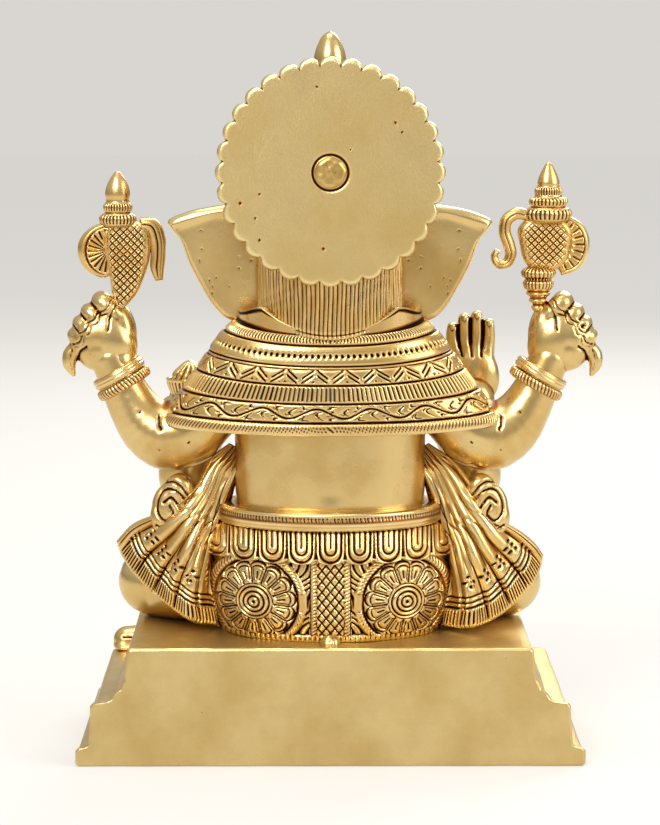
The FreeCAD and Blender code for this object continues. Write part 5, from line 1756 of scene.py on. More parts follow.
@dataclass
class Emblems:
    """What the rear hands hold: a crosshatched drop on the left and a layered vessel on the right.

    Attributes:
        thick: thickness of the flat parts.
        deep: depth of their middle.
    """

    thick: float = 6.4
    deep: float = 18.0

    def hatch(self, x: Array, z: Array) -> Array:
        """A crosshatched field with a dot in each diamond."""
        lines = np.maximum(groove(repeat(x + z, 3.1), 0.42), groove(repeat(x - z, 3.1), 0.42))
        dots = groove(np.hypot(repeat(x + z + 1.55, 3.1), repeat(x - z + 1.55, 3.1)), 0.7)
        return -0.85 * lines - 0.5 * dots

    def rings(self, name: str, x: float, profile: Sequence[tuple[float, float]],
              ribs: Sequence[tuple[float, float]],
              node: str) -> None:
        """A turned stem or finial with ribbed rings.

        Args:
            name: the piece's name.
            x: where it stands across.
            profile: radius and height of its corners.
            ribs: lowest and highest height of each ribbed ring.
            node: the CAD node that it stands for, or none.
        """
        piece = spun(name, profile, (x, self.deep, 0), 120, 120)
        points = read(piece)
        points[:, 1] = self.deep + (points[:, 1] - self.deep) * 0.82
        write(piece, points)

        def ribbed(points: Array, outward: Array) -> Array:
            """Upright cuts round each ribbed ring."""
            angle = np.arctan2(points[:, 0] - x, points[:, 1] - self.deep)
            height = np.zeros(len(points))
            for low, high in ribs:
                on = (points[:, 2] > low) & (points[:, 2] < high)
                height = np.where(on, -0.6 * groove(repeat(angle, math.pi / 13) * 7.5, 0.42), height)
            return height

        press(piece, ribbed)
        hand_over(piece, Finish.CHASED, [node] if node else [], 0.26, 5)

    def flutes(self, count: float) -> Callable[[Array, Array], Array]:
        """The chasing of a fluted ribbon with a smooth rim on its outer side."""
        return lambda a, t: (0.5 * bead(t - 0.78, 0.26) - 0.7 * groove(t - 0.5, 0.09)
                             - 0.75 * groove(repeat(a, 1 / count), 0.018) * ease(0.5, 0.4, t))

    def hatched(self) -> None:
        """The left one."""
        drop = [(98.8, 219.6), (98.4, 210), (96.2, 201.7), (95.2, 194.4), (91.9, 186.0), (87.8, 189.8),
                (85.0, 193.0),
                (81.6, 200.1), (79.0, 209), (78.6, 218.4), (81.0, 223.6), (88.6, 225), (96.2, 223.9)]
        body = plaque("hatched_emblem_worked", drop, (88.8, 211), self.deep, self.thick,
                      lambda x, z: self.hatch(x, z)
                      * ease(10.0, 7.6, np.abs(x - 88.7) * 1.15 + np.clip(205 - z, 0, 30) * 0.33)
                      - 0.8 * groove(np.abs(x - 88.7) * 1.15 + np.clip(205 - z, 0, 30) * 0.33 - 9.3, 0.6),
                      190, 70)

        def fan(x: Array, z: Array) -> tuple[Array, Array]:
            """Distance and angle from the middle of the outer part's flutes."""
            return np.hypot(x - 96.6, (z - 212.2) * 0.92), np.arctan2(z - 212.2, x - 96.6)

        outer = plaque("hatched_outer",
                       [(96.6, 224.4), (101.0, 223.4), (106.4, 220.0), (109.2, 215.4), (109.4, 210.2),
                        (107.4, 205.6),
                                         (103.4, 202.0), (98.0, 200.6), (95.4, 202.0), (95.0, 212)],
                                         (101, 212.2), self.deep, 4.8,
                       lambda x, z: 0.5 * bead(fan(x, z)[0] - 11.4, 1.5) - 0.8
                       * groove(fan(x, z)[0] - 9.4, 0.45)
                       - 0.8 * groove(repeat(fan(x, z)[1], math.pi / 11) * 6.5, 0.4)
                       * ease(9.0, 8.2, fan(x, z)[0]), 170, 50)
        hook = ribbon("hatched_inner",
                      [(83.4, 223.6), (78.0, 222.8), (75.6, 217.0), (75.4, 210.6), (75.8, 205.0),
                       (75.0, 199.4)],
                      [5.4, 6.6, 6.8, 6.4, 6.2, 3.4], self.deep, 4.8,
                      lambda a, t: -0.75 * groove(t - 0.05, 0.1) - 0.6 * groove(t + 0.5, 0.09), 150, 30)
        piece = join([body, outer, hook])
        write(piece, read(piece) - (2.4, 0, 0))
        hand_over(piece, Finish.CHASED, ["hatched_emblem"], 0.28, 10)
        self.rings("hatched_emblem_finial_worked", 90.0,
                   [(0, 222.6), (6.6, 222.9), (7.8, 224.2), (7.8, 226.6), (6.4, 227.9), (5.4, 228.4),
                    (6.1, 229.4), (6.1, 231.6),
                    (5.0, 232.9), (4.9, 234.0), (5.3, 235.4), (5.1, 238.0), (3.9, 241.4), (2.0, 244.4),
                    (0.7, 245.8), (0, 246.0)],
                   [(223.6, 227.6), (229.0, 232.2)], "hatched_emblem_finial")

    def layered(self) -> None:
        """The right one."""
        x = -91.2
        urn = [(-80.0, 222), (-80.6, 214), (-82.4, 207.6), (-86, 204.0), (-91.2, 203.2), (-96.6, 204.0),
               (-100.8, 207.6),
               (-102.4, 214), (-102.4, 222), (-99.4, 225.4), (-91.2, 226), (-83, 225.4)]
        body = plaque("barrel_emblem_worked", urn, (x, 214), self.deep, 8.4,
                      lambda a, b: self.hatch(a, b)
                      * ease(1.0, 0.84, np.hypot((a - x) / 11.4, (b - 214.4) / 11.6))
                      - 0.6 * groove(np.hypot((a - x) / 11.4, (b - 214.4) / 11.6) - 0.93, 0.045), 180, 60)
        crescent = ribbon("barrel_outer",
                          [(-99.8, 224.8), (-104.6, 220.4), (-106.0, 213.6), (-103.4, 207.6), (-97.0, 204.2)],
                          [6.0, 8.0, 8.6, 8.0, 6.0], self.deep, 4.8, lambda a, t: self.flutes(9)(a, -t),
                          150, 26)
        scroll = ribbon("barrel_inner",
                        [(-84.6, 227.0), (-78.8, 227.8), (-75.0, 225.0), (-74.2, 220.0), (-76.0, 214.5),
                                         (-76.8, 210.4), (-75.0, 206.8), (-71.6, 206.6), (-69.8, 209.6),
                                         (-71.4, 212.6)],
                        [4.6, 5.2, 5.4, 5.2, 5.2, 5.2, 4.8, 4.2, 3.4, 2.6], self.deep, 4.8,
                        lambda a, t: -0.6 * groove(t, 0.13) - 0.4 * groove(np.abs(t) - 0.62, 0.1), 190, 26)
        stem = spun("barrel_stem",
                    [(0, 185.6), (1.4, 186.0), (2.9, 188.4), (2.3, 189.0), (4.1, 191.2), (3.5, 191.9),
                     (5.3, 194.2),
                                    (4.7, 194.8), (6.2, 196.4), (6.5, 199.0), (5.5, 200.2), (7.2, 201.4),
                                    (7.4, 203.4), (5.8, 204.8),
                                    (0, 205.2)], (x + 2.6, self.deep, 0), 96, 110)
        press(stem, lambda p, n: -0.45
              * groove(repeat(np.arctan2(p[:, 0] - x - 2.6, p[:, 1] - self.deep), math.pi / 12) * 6, 0.4)
              * (p[:, 2] > 196))
        piece = join([body, crescent, scroll, stem])
        hand_over(piece, Finish.CHASED, ["barrel_emblem"], 0.28, 10)
        self.rings("barrel_emblem_finial_worked", -92.6,
                   [(0, 224.4), (8.6, 224.8), (9.8, 226.2), (9.8, 229.0), (8.4, 230.4), (7.4, 230.8),
                    (8.2, 232.0), (8.0, 234.2),
                    (5.8, 235.2), (5.9, 236.8), (5.7, 238.6), (4.6, 239.6), (4.7, 240.6), (4.3, 242.6),
                    (2.5, 246.8), (1.0, 249.2), (0, 249.9)],
                   [(225.6, 229.8), (231.4, 234.8), (235.8, 239.2)], "barrel_emblem_finial")

    def make(self) -> None:
        """Makes both emblems."""
        self.hatched()
        self.layered()


# ------------------------------------------------------------------ front arms, head, crown and legs
@dataclass
class FrontArms:
    """The two front arms: the left offers a sweet in a bowl and the right gives a blessing.

    Attributes:
        elbow: x, y and height of the left elbow.
        wrist: x, y and height of the left wrist.
    """

    elbow: Point = (63, 0, 113)
    wrist: Point = (63, -28.2, 137.4)

    def arm(self) -> bpy.types.Object:
        """The left arm."""
        clay = Clay("left_front_arm_worked")
        clay.limb([(46, 4, 156), (53, 3, 142), (60, 1, 124), self.elbow, (63.6, -9, 119), (63.4, -19, 129),
                   self.wrist],
                  [11.0, 12.0, 11.8, 11.4, 10.6, 9.2, 7.6], 20)
        return clay.skin(0.9, 8)

    def blessing(self) -> bpy.types.Object:
        """The raised right hand, its palm forward."""
        clay = Clay("right_front_hand_worked")
        clay.ball((-65, -29, 143), (8.4, 7.2, 8.6)).ball((-66, -31.5, 153.5), (11.0, 5.4, 12.5))
        tips = ((-73.8, 176.4, 2.7), (-68.4, 179.9, 2.9), (-62.8, 178.8, 2.9), (-57.6, 174.8, 2.6))
        for x, z, radius in tips:
            clay.limb([(-66 + (x + 66) * 0.8, -31.4, 158), (x, -32.2, 168), (x, -31.2, z - radius)],
                      [radius + 0.7, radius + 0.3, radius - 0.3], 8)
        clay.limb([(-58.5, -33, 148), (-53.6, -35, 155), (-52.4, -35.6, 162)], [4.0, 3.3, 2.5], 8)
        piece = clay.skin(0.6, 4)
        gaps = [((a[0] + b[0]) / 2) for a, b in zip(tips, tips[1:])]
        strokes = [Stroke([(g, 0, 176), (g, 0, 168), (-66 + (g + 66) * 0.8, 0, 160)], 0.55, 1.3, 1, side)
                   for g in gaps for side in (1, -1)]
        for x, z, radius in tips:
            strokes.append(Stroke([(x - 1.5, 0, z - 2.2), (x, 0, z - 4.2), (x + 1.5, 0, z - 2.2)], 0.4, 0.5))
            strokes.append(Stroke([(x - 2, 0, z - 8), (x + 2, 0, z - 8.4)], 0.4, 0.55, 1, -1))
        strokes += [Stroke(line, 0.5, 0.7, 1, -1) for line in (
            [(-74, 0, 158), (-66, 0, 155), (-58, 0, 157)], [(-73, 0, 152), (-66, 0, 148), (-60, 0, 151)])]
        strokes.append(Stroke([(-66 + 4 * math.cos(a), 0, 153 + 4 * math.sin(a))
                               for a in np.linspace(0, 5.6, 12)],
                              0.5, -0.6, 1, -1))
        chase(piece, strokes)
        points = read(piece)
        rise = ease(138, 166, points[:, 2])
        write(piece, points + np.stack([rise * 3.4, rise * 0, rise * 3.0], axis=1))
        return piece

    def offering(self) -> bpy.types.Object:
        """The left hand, its palm up under the bowl."""
        clay = Clay("left_front_hand_worked")
        clay.ball((62.6, -29.6, 139.6), (8.0, 7.8, 6.2)).ball((62, -36, 141.2), (12.2, 11.0, 4.6))
        for k in range(4):
            x = 55.6 + 4.6 * k
            clay.limb([(x, -40, 141.5), (x - 0.4, -47.6, 142.6), (x - 0.6, -49.0, 146.5)], [2.9, 2.7, 2.1], 7)
        clay.limb([(53, -31, 142), (49.4, -36, 145.5), (51.0, -41.0, 149.6)], [3.6, 3.0, 2.3], 7)
        piece = clay.skin(0.62, 4)
        return chase(piece,
                     [Stroke([(58 + 4.6 * k, -49, 143), (58 + 4.6 * k, -44, 140), (58 + 4.6 * k, -40, 138)],
                                    0.5, 1.0, 2, -1) for k in range(3)])

    def bowl(self) -> None:
        """The bowl and the pleated sweet in it."""
        low, high = corners("offering_bowl")
        cx, cy, foot = float(low[0] + high[0]) / 2, float(low[1] + high[1]) / 2, float(low[2])
        bowl = spun("offering_bowl_worked",
                    [(0, 0.4), (6.0, 0.2), (7.6, 1.6), (9.6, 5.4), (10.3, 8.4), (10.2, 9.5), (9.3, 9.4),
                                             (8.7, 6.6), (6.8, 3.6), (0, 3.0)], (cx, cy, foot), 144, 90)
        press(bowl, lambda p, n: -0.5
              * groove(repeat(np.arctan2(p[:, 0] - cx, p[:, 1] - cy), math.pi / 15) * 9, 0.45)
              * ease(foot + 1, foot + 2.5, p[:, 2]) * ease(foot + 8.6, foot + 7.6, p[:, 2]))
        hand_over(bowl, Finish.CHASED, ["offering_bowl"], 0.24, 5)
        low, high = corners("offering_sweet")
        foot = float(low[2])
        sweet = spun("offering_sweet_worked",
                     [(0, 2.0), (6.2, 2.6), (7.8, 6.2), (7.4, 10.2), (4.6, 13.2), (1.9, 15.2), (0, 16.0)],
                     (cx, cy, foot), 120, 70)
        press(sweet, lambda p, n: -0.8
              * groove(repeat(np.arctan2(p[:, 0] - cx, p[:, 1] - cy) + (p[:, 2] - foot) * 0.05,
                                                       math.pi / 7) * 7, 0.7)
                                                       * ease(foot + 15.5, foot + 12, p[:, 2]))
        hand_over(sweet, Finish.CHASED, ["offering_sweet"], 0.3, 6)

    def make(self) -> None:
        """Makes both arms, hands and bangles, and the offering."""
        left = self.arm()
        right = flip(left, "right_front_arm_worked")
        hand_over(left, Finish.POLISHED, ["left_front_arm"])
        hand_over(right, Finish.POLISHED, ["right_front_arm"])
        hand_over(self.blessing(), Finish.POLISHED, ["right_front_hand"], 0.3)
        hand_over(self.offering(), Finish.POLISHED, ["left_front_hand"], 0.3)
        self.bowl()
        for word in ("left", "right"):
            low, high = corners(f"{word}_front_bangle")
            middle = (low + high) / 2
            bangle(f"{word}_front_bangle", tuple(middle), 9.0, 2.2, (0, -0.74, 0.67), 1.5)


@dataclass
class Head:
    """The elephant's head: skull, cheeks, eyes, trunk and tusks.

    Attributes:
        skull: middle of the skull.
        trunk: middle of the trunk from its root to its tip.
        girth: its radius at each point.
    """

    skull: Point = (0, 10, 213)
    trunk: tuple[Point, ...] = (
        (0, -7, 210), (0, -22, 202), (0, -34, 190), (0, -41, 174), (0, -44.5, 158), (1.5, -46, 146),
        (9, -46, 137),
        (19, -45.5, 134.4), (28, -45, 138.4))
    girth: tuple[float, ...] = (13.6, 12.8, 11.2, 9.9, 9.0, 8.2, 7.2, 6.2, 5.4)

    def face(self) -> bpy.types.Object:
        """The skull with its brows, cheeks and eyes."""
        clay = Clay("head_worked")
        _, y, z = self.skull
        clay.ball(self.skull, (30, 27, 27)).ball((0, y + 5, 191), (18, 16, 14))
        for side in (-1, 1):
            clay.ball((side * 12, y - 10, z + 9), (14, 14, 14)).ball((side * 17, y - 12, z - 9), (12, 14, 13))
            clay.ball((side * 14.8, -13, 204), (6.6, 10, 6.4), (-20, 0, 0))
            clay.ball((side * 17.5, y - 23.5, z + 2.2), (4.8, 2.8, 3.0))
        clay.ball((0, -4, 206), (15, 16, 16)).ball((0, -14, 188), (9, 9, 7))
        clay.limb([(0, -2, 222), (0, -7, 214), (0, -18, 205)], [13.0, 14.6, 13.0], 8)
        piece = clay.skin(0.85, 6)
        strokes = []
        for side in (-1, 1):
            cx, cz = side * 17.5, z + 2.2
            rim = [(cx + 6.0 * math.cos(a), 0, cz + 3.4 * math.sin(a) * (1 - 0.15 * math.cos(a)))
                   for a in np.linspace(0, 2 * math.pi, 16)[:-1]]
            strokes += [Stroke(rim, 0.5, 0.9, 1, -1, True),
                        Stroke([(cx + 1.9 * math.cos(a), 0, cz + 1.9 * math.sin(a))
                                for a in np.linspace(0, 2 * math.pi, 10)[:-1]],
                               0.35, 0.45, 1, -1, True),
                        Stroke([(cx - side * 7.5, 0, cz + 3.5), (cx, 0, cz + 7.4),
                                (cx + side * 7, 0, cz + 4.6)], 0.9, -0.9, 1, -1),
                        Stroke([(cx - side * 5, 0, cz - 6), (cx + side * 1, 0, cz - 6.6),
                                (cx + side * 6, 0, cz - 4.4)], 0.5, 0.5, 1, -1)]
        for row in (-1, 0, 1):
            strokes.append(Stroke([(-8, 0, 224.5 + row * 2.6), (0, 0, 223.6 + row * 2.6),
                                   (8, 0, 224.5 + row * 2.6)], 0.45, -0.7, 1, -1))
        strokes.append(Stroke([(0, 0, 232), (0, 0, 227), (0, 0, 220)], 0.9, -0.9, 1, -1))
        return chase(piece, strokes)

    def trunk_piece(self) -> bpy.types.Object:
        """The trunk, ringed with wrinkles."""
        piece = Clay("trunk_worked").limb(self.trunk, self.girth, 30).skin(0.8, 6)

        def wrinkles(points: Array, outward: Array) -> Array:
            """The wrinkles, and the nostril at the tip."""
            far, _ = along(points, self.trunk)
            front = ease(-0.2, 0.5, -outward[:, 1] * 0.8 + 0.25)
            lines = groove(repeat(far + 0.8 * np.sin(far / 7), 4.6), 0.55) * ease(12, 20, far)
            return (-0.6 * lines * front - 0.9
                    * groove(np.hypot(points[:, 0] - 31.5, points[:, 2] - 142) - 1.6, 0.6)
                    * (points[:, 0] > 27))

        return press(piece, wrinkles)

    def tusk(self, name: str, side: int, length: float) -> None:
        """Makes one tusk; the left one is broken short."""
        low, high = corners(name)
        root = np.array((side * 15.0, -12.0, 202.0))
        tip = np.array(((high[0] if side > 0 else low[0]), low[1], low[2])) + (-side * 2.4, 2.4, 2.4)
        middle = (root + tip) / 2 + (side * 1.2, 0.4, -1.6)
        ends = 3.1 if length < 20 else 1.5
        clay = Clay(f"{name}_worked").limb([root, middle, tip], [5.0, 4.5, ends], 10)
        piece = clay.skin(0.55, 4)
        press(piece, lambda p, n: -0.45 * groove(repeat(along(p, [root, middle, tip])[0], 40) - 8, 0.6)
              - 0.35 * groove(repeat(along(p, [root, middle, tip])[0], 40) - 10.5, 0.5))
        hand_over(piece, Finish.POLISHED, [name], 0.26)

    def make(self) -> None:
        """Makes the head, the trunk and the tusks."""
        hand_over(self.face(), Finish.POLISHED, ["head"], 0.36)
        hand_over(self.trunk_piece(), Finish.POLISHED, ["trunk"], 0.3)
        self.tusk("left_tusk", 1, 13.5)
        self.tusk("right_tusk", -1, 27.0)


@dataclass
class Crown:
    """The tiered crown and its finial."""

    def make(self) -> None:
        """Makes both pieces."""
        low, high = corners("crown")
        cx, cy = 0.0, float(low[1] + high[1]) / 2
        foot = float(low[2])
        profile = [(0, 0), (25.0, 0.2), (25.6, 1.6), (25.4, 3.2), (24.2, 4.4), (24.0, 6.0), (24.6, 9.0),
                   (24.2, 13.0), (24.8, 15.4),
                   (24.8, 18.2), (22.0, 20.2), (19.4, 21.2), (18.4, 23.0), (19.0, 27.0), (19.2, 30.0),
                   (18.6, 33.0), (15.0, 34.8),
                   (13.4, 36.0), (13.0, 39.0), (13.6, 42.0), (13.4, 45.0), (10.6, 47.0), (9.2, 49.0),
                   (8.6, 53.0), (7.4, 56.4),
                   (5.0, high[2] - foot), (0, high[2] - foot)]
        piece = spun("crown_worked", profile, (cx, cy, foot), 300, 160)

        def tiers(points: Array, outward: Array) -> Array:
            """The rows of arches and beads."""
            angle = np.arctan2(points[:, 0] - cx, points[:, 1] - cy)
            reach, z = np.hypot(points[:, 0] - cx, points[:, 1] - cy), points[:, 2] - foot
            on = ease(0.2, 0.5, np.hypot(outward[:, 0], outward[:, 1]))

            def beads(low: float, high: float, count: int) -> Array:
                """A row of upright cuts between two heights."""
                return (ease(low, low + 0.4, z) * ease(high, high - 0.4, z)
                        * groove(repeat(angle, 2 * math.pi / count) * reach, 0.5))

            leaf = repeat(angle, 2 * math.pi / 16) * 16 / math.pi
            arch = 6.2 + 7.6 * np.sqrt(np.clip(1 - leaf**2, 0, 1))
            arches = ease(5.4, 6.2, z) * ease(15, 14.4, z) * (groove(z - arch, 0.55) + 0.8
                                                              * groove(z - arch + 2.6, 0.45)
                                                              + 0.8 * groove(leaf, 0.12) * (z < arch - 3.4))
            small = repeat(angle, 2 * math.pi / 12) * 12 / math.pi
            second = 23.4 + 6.6 * np.sqrt(np.clip(1 - small**2, 0, 1))
            arches = (arches + ease(22.4, 23.2, z) * ease(32.4, 31.6, z)
                      * (groove(z - second, 0.5) + 0.8 * groove(small, 0.1) * (z < second - 2)))
            rows = (beads(0.6, 4.0, 56) + beads(15.4, 18.6, 56) + beads(36.6, 44.6, 24) + 0.7
                    * beads(49, 56, 14))
            return -0.7 * np.clip(arches + rows, 0, 1.2) * on

        press(piece, tiers)
        hand_over(piece, Finish.CHASED, ["crown"], 0.3, 7)
        low, high = corners("crown_finial")
        foot = float(low[2])
        tall = D.top - foot
        finial = spun("crown_finial_worked",
                      [(0, 0.2), (4.6, 0.6), (5.4, 2.2), (6.9, tall * 0.36), (6.7, tall * 0.52),
                       (5.2, tall * 0.74),
                                              (2.8, tall * 0.92), (0, tall)],
                                              (cx, float(low[1] + high[1]) / 2, foot), 96, 70)
        press(finial, lambda p, n: -0.35 * groove(p[:, 2] - foot - 2.4, 0.5) - 0.02)
        hand_over(finial, Finish.POLISHED, ["crown_finial"], 0.25)


@dataclass
class Legs:
    """The crossed legs under their cloth, and the feet."""

    def leg(self, side: int, word: str) -> None:
        """Makes one leg."""
        clay = Clay(f"{word}_leg_worked")
        clay.limb([(side * 30, 6, 70), (side * 52, 0, 69), (side * 66, -5, 67), (side * 75, -10, 65)],
                  [19, 19, 18, 15.5], 12)
        clay.limb([(side * 76, -10, 65), (side * 62, -20, 62.5), (side * 40, -26, 61), (side * 18, -28, 60)],
                  [15.5, 13.5, 11.4, 8.6], 14)
        clay.ball((side * 78, -9, 66), (15.6, 15.6, 15.2))
        piece = clay.skin(1.0, 8)
        points = read(piece)
        points[:, 2] = np.maximum(points[:, 2], D.seat + 0.15)
        # from here out the leg is stretched or squeezed to end where the CAD's knee does
        start, out = 58, points[:, 0] * side
        knee = float(np.abs([end[0] for end in corners(f"{word}_leg")]).max())
        swell = start + (out - start) * (knee - start) / (out.max() - start)
        points[:, 0] = side * np.where(out > start, swell, out)
        write(piece, points)
        shin = [(side * 90, -4, 65), (side * 76, -10, 65), (side * 62, -20, 62.5), (side * 40, -26, 61),
                (side * 18, -28, 60)]

        def folds(points: Array, outward: Array) -> Array:
            """The cloth's folds and its hem."""
            far, _ = along(points, shin)
            front = ease(0.15, -0.25, outward[:, 1]) * ease(0.75, 0.2, outward[:, 2] * 0.2)
            bow = repeat(far + 0.45 * (points[:, 2] - 60) + 2.2 * np.sin(points[:, 2] / 6.0 + far / 9.0),
                         10.5)
            cloth = (0.55 * groove(bow, 1.9) + 0.3 * groove(bow - 3.4, 0.7)) * ease(88, 74, far)
            hem = (sum(groove(far - at, 0.5) for at in (79.5, 82.5))
                   + groove(repeat(points[:, 2] + points[:, 1] * 0.5, 1.9), 0.4) * ease(79.8, 80.2, far)
                   * ease(82.2, 81.8, far))
            thigh = groove(repeat(points[:, 0] * 0.9 + points[:, 1] * 0.55 + 1.5 * np.sin(points[:, 1] / 7),
                                  11.0), 2.2)
            return (-cloth * front - 0.5 * np.clip(hem, 0, 1) * front - 0.5 * thigh
                    * ease(0.0, 0.5, outward[:, 2]))

        press(piece, folds)
        hand_over(piece, Finish.POLISHED, [f"{word}_leg"], 0.42)

    def foot(self, side: int, word: str) -> None:
        """Makes one foot with its toes and anklet."""
        clay = Clay(f"{word}_foot_worked")
        low, high = corners(f"{word}_foot")
        cy, cz = float(low[1] + high[1]) / 2, float(low[2] + high[2]) / 2
        clay.limb([(side * 27, cy + 3, cz + 1.4), (side * 15, cy, cz), (side * 4, cy - 0.6, cz - 0.6)],
                  [7.4, 6.8, 5.6], 10)
        for k in range(5):
            clay.limb([(side * 4, cy - 4.4 + 2.2 * k, cz - 1.5),
                       (side * (-1.6 + 0.5 * k), cy - 4.8 + 2.4 * k, cz - 2.2)],
                      [2.1, 1.9 if k else 2.4], 4)
        piece = clay.skin(0.6, 3)
        settle(piece, D.seat + 0.1)
        chase(piece, [Stroke([(side * 3, cy - 3.4 + 2.3 * k, 0), (side * -2.4, cy - 3.6 + 2.3 * k, 0)], 0.4,
                             0.9, 2, 1) for k in range(4)]
              + [Stroke([(side * 24, 0, cz - 7), (side * 23.4, 0, cz), (side * 24, 0, cz + 7)], 0.8, -0.9,
                        1, -1)])
        hand_over(piece, Finish.POLISHED, [f"{word}_foot"], 0.3)

    def make(self) -> None:
        """Makes both legs and feet."""
        for side, word in ((1, "left"), (-1, "right")):
            self.leg(side, word)
            self.foot(side, word)


@dataclass
class Necklace:
    """The heavy beaded necklace.

    Attributes:
        beads: how many beads it has.
        radius: from its middle to its wire.
    """

    beads: int = 56
    radius: float = 32.0

    def make(self) -> None:
        """Makes it."""
        low, high = corners("necklace")
        middle = (low + high) / 2
        tilt = math.radians(38)

        def ring(turn: Array) -> Array:
            """The middle of the wire, which leans forward."""
            return np.stack([middle[0] + self.radius * np.sin(turn),
                             middle[1] + self.radius * math.cos(tilt) * np.cos(turn),
                             middle[2] + self.radius * math.sin(tilt) * np.cos(turn)], axis=-1)

        pitch = 2 * math.pi * self.radius / self.beads

        def relief(s: Array, t: Array) -> Array:
            """A row of beads."""
            return 1.0 * bead(repeat(s, pitch), pitch / 2) - 0.9

        up = (0, -math.sin(tilt), math.cos(tilt))
        piece = hoop("necklace_worked", 480, 32, ring, (3.2, 3.4), up, relief, middle)
        clay = Clay("necklace_drop")
        front = middle + (0, -self.radius * math.cos(tilt) - 1.4, -self.radius * math.sin(tilt))
        clay.ball(front + (0, -0.4, -4.5), (4.4, 2.4, 4.6)).ball(front + (0, -0.4, -9.8), (2.3, 2.0, 3.0))
        drop = clay.skin(0.5, 3)
        chase(drop, [Stroke([(2.5 * math.cos(a), 0, front[2] - 4.5 + 2.5 * math.sin(a))
                             for a in np.linspace(0, 2 * math.pi, 12)[:-1]],
                            0.4, 0.5, 1, -1, True)])
        piece = join([piece, drop])
        piece.name = piece.data.name = "necklace_worked"
        hand_over(piece, Finish.CHASED, ["necklace"], 0.28, 6)


@dataclass
class Mouse:
    """The mouse that sits on the front ledge and looks to the middle."""

    def make(self) -> None:
        """Makes it."""
        low, high = corners("mouse")
        foot, y = float(low[2]), float(low[1] + high[1]) / 2
        rear, nose = float(high[0]), float(low[0])
        clay = Clay("mouse_worked")
        clay.limb([(rear - 6.4, y, foot + 4.2), (rear - 13, y, foot + 5), (nose + 8, y, foot + 5.2),
                   (nose + 2.4, y, foot + 3.6)],
                  [6.2, 5.8, 4.3, 1.9], 12)
        for side in (-1, 1):
            clay.ball((nose + 11.5, y + side * 3.2, foot + 9.3), (1.3, 2.1, 2.3))
            clay.limb([(nose + 8, y + side * 2.4, foot + 3.4), (nose + 4.6, y + side * 1.8, foot + 1.2)],
                      [1.9, 1.4], 4)
            clay.ball((rear - 6, y + side * 4.4, foot + 2.6), (4.4, 2.2, 3.0))
        clay.limb([(rear - 1.5, y, foot + 2), (rear - 3, y + 5.6, foot + 1.6),
                   (rear - 12, y + 7.2, foot + 1.4)], [1.5, 1.3, 0.8], 8)
        piece = clay.skin(0.5, 3)
        settle(piece, foot + 0.1)
        chase(piece, [Stroke([(nose + 6.4, 0, foot + 6.0), (nose + 6.6, 0, foot + 6.2)], 0.7, 0.9, 1, side)
                      for side in (1, -1)]
              + [Stroke([(nose + 2.6, 0, foot + 2.7), (nose + 6, 0, foot + 3)], 0.35, 0.5, 1, side)
                 for side in (1, -1)]
              + [Stroke([(rear - 12, 0, foot + 2), (rear - 9.6, 0, foot + 6), (rear - 5, 0, foot + 6.4)],
                        0.5, 0.6, 1, side) for side in (1, -1)])
        hand_over(piece, Finish.CHASED, ["mouse"], 0.3, 7)


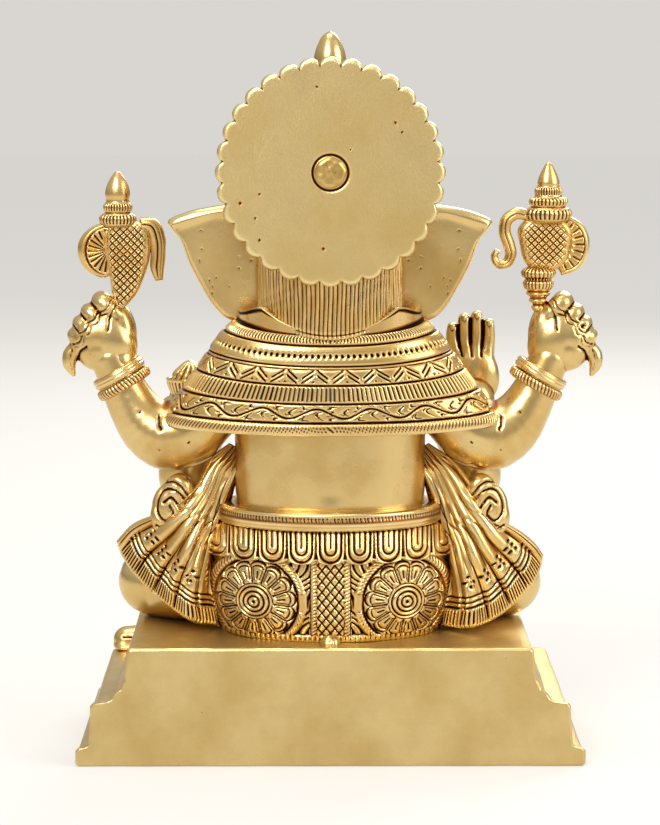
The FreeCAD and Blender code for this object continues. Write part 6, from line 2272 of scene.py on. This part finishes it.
# ------------------------------------------------------------------ stage
@dataclass
class Studio:
    """Pale floor and backdrop, soft light, and the camera.

    Attributes:
        eye: where the camera is, in metres.
        turn: how far it looks to one side, in degrees.
        dip: how far it looks down, in degrees.
        lens: its lens, in millimetres.
    """

    eye: Point = (0.0066, 1.367, 0.3012)
    turn: float = 0.28
    dip: float = 6.69
    lens: float = 138.7

    def floor(self) -> None:
        """Lays the floor, which shows pale to the camera and in reflections and keeps the shadow."""
        deselect()
        bpy.ops.mesh.primitive_plane_add(size=14)
        piece = bpy.context.object
        piece.name = "floor"
        material = bpy.data.materials.new("pale_paper_floor")
        material.use_nodes = True
        tree = material.node_tree
        tree.nodes.clear()
        light = add_node(tree, "ShaderNodeLightPath")
        seen = add_node(tree, "ShaderNodeMath", {
            0: light.outputs["Is Camera Ray"], 1: light.outputs["Is Glossy Ray"]}, operation="MAXIMUM")
        paper = add_node(tree, "ShaderNodeBsdfDiffuse", {"Color": linear("A8A5A0")})
        glow = add_node(tree, "ShaderNodeEmission", {"Color": linear("F4F2EE"), "Strength": 0.45})
        both = add_node(tree, "ShaderNodeAddShader", {0: paper.outputs[0], 1: glow.outputs[0]})
        pick_one = add_node(tree, "ShaderNodeMixShader", {
            0: seen.outputs[0], 1: paper.outputs[0], 2: both.outputs[0]})
        add_node(tree, "ShaderNodeOutputMaterial", {"Surface": pick_one.outputs[0]})
        piece.data.materials.append(material)

    def sky(self) -> None:
        """Makes the surroundings: soft fill, and a pale room for the camera and the metal to see."""
        world = bpy.data.worlds.new("studio")
        bpy.context.scene.world = world
        world.use_nodes = True
        tree = world.node_tree
        tree.nodes.clear()
        light = add_node(tree, "ShaderNodeLightPath")
        seen = add_node(tree, "ShaderNodeMath", {
            0: light.outputs["Is Camera Ray"], 1: light.outputs["Is Transmission Ray"]}, operation="MAXIMUM")
        way = add_node(tree, "ShaderNodeSeparateXYZ",
                       {0: add_node(tree, "ShaderNodeTexCoord").outputs["Generated"]})
        height = add_node(tree, "ShaderNodeMapRange", {
            "Value": way.outputs["Z"], "From Min": -1.0, "From Max": 1.0})
        room = add_node(tree, "ShaderNodeValToRGB", {"Fac": height.outputs[0]}, stops=[
            (0.42, "8C8883"), (0.52, "A5A19B"), (0.62, "D8D6D2"), (1.0, "FFFFFF")])
        fill = add_node(tree, "ShaderNodeBackground", {"Color": room.outputs["Color"], "Strength": 0.8})
        pale = add_node(tree, "ShaderNodeBackground", {"Color": linear("D9D6D1"), "Strength": 1.0})
        both = add_node(tree, "ShaderNodeMixShader",
                        {0: seen.outputs[0], 1: fill.outputs[0], 2: pale.outputs[0]})
        add_node(tree, "ShaderNodeOutputWorld", {"Surface": both.outputs[0]})

    def lamp(self, name: str, at: Point, size: float, power: float) -> None:
        """Adds a soft box that looks at the statue's middle."""
        data = bpy.data.lights.new(name, "AREA")
        data.shape, data.size, data.energy = "SQUARE", size, power
        lamp = bpy.data.objects.new(name, data)
        lamp.location = at
        lamp.rotation_euler = (Vector(at) - Vector((0, 0, 0.15))).to_track_quat("Z", "Y").to_euler()
        bpy.context.scene.collection.objects.link(lamp)

    def camera(self) -> None:
        """Sets the camera."""
        data = bpy.data.cameras.new("camera")
        data.lens, data.sensor_width = self.lens, 36
        camera = bpy.data.objects.new("camera", data)
        turn, dip = math.radians(self.turn), math.radians(self.dip)
        way = Vector((-math.sin(turn) * math.cos(dip), -math.cos(turn) * math.cos(dip), -math.sin(dip)))
        camera.location = self.eye
        camera.rotation_euler = way.to_track_quat("-Z", "Y").to_euler()
        bpy.context.scene.collection.objects.link(camera)
        bpy.context.scene.camera = camera

    def make(self) -> None:
        """Sets up the whole stage."""
        self.floor()
        self.sky()
        self.lamp("key", (0.55, 1.25, 1.15), 0.7, 17)
        self.lamp("fill", (-1.2, 0.6, 0.7), 0.9, 10)
        self.lamp("front_key", (-0.5, -1.3, 1.1), 0.8, 14)
        self.lamp("top", (0.1, 0.0, 1.7), 0.8, 9)
        self.camera()
        bpy.context.scene.view_settings.view_transform = "Standard"


def main() -> None:
    """Builds the statue, sub-assembly by sub-assembly."""
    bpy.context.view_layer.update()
    for part in (Pedestal(), Halo(), Ears(), Hair(), Shawl(), Torso(), Hips(), Sash(),
                 RearArms(), Emblems(), FrontArms(), Head(), Crown(), Legs(), Necklace(), Mouse()):
        log.info("making the %s", type(part).__name__)
        part.make()
    Studio().make()


if __name__ == "__main__":
    logging.basicConfig(level=logging.INFO)
    main()
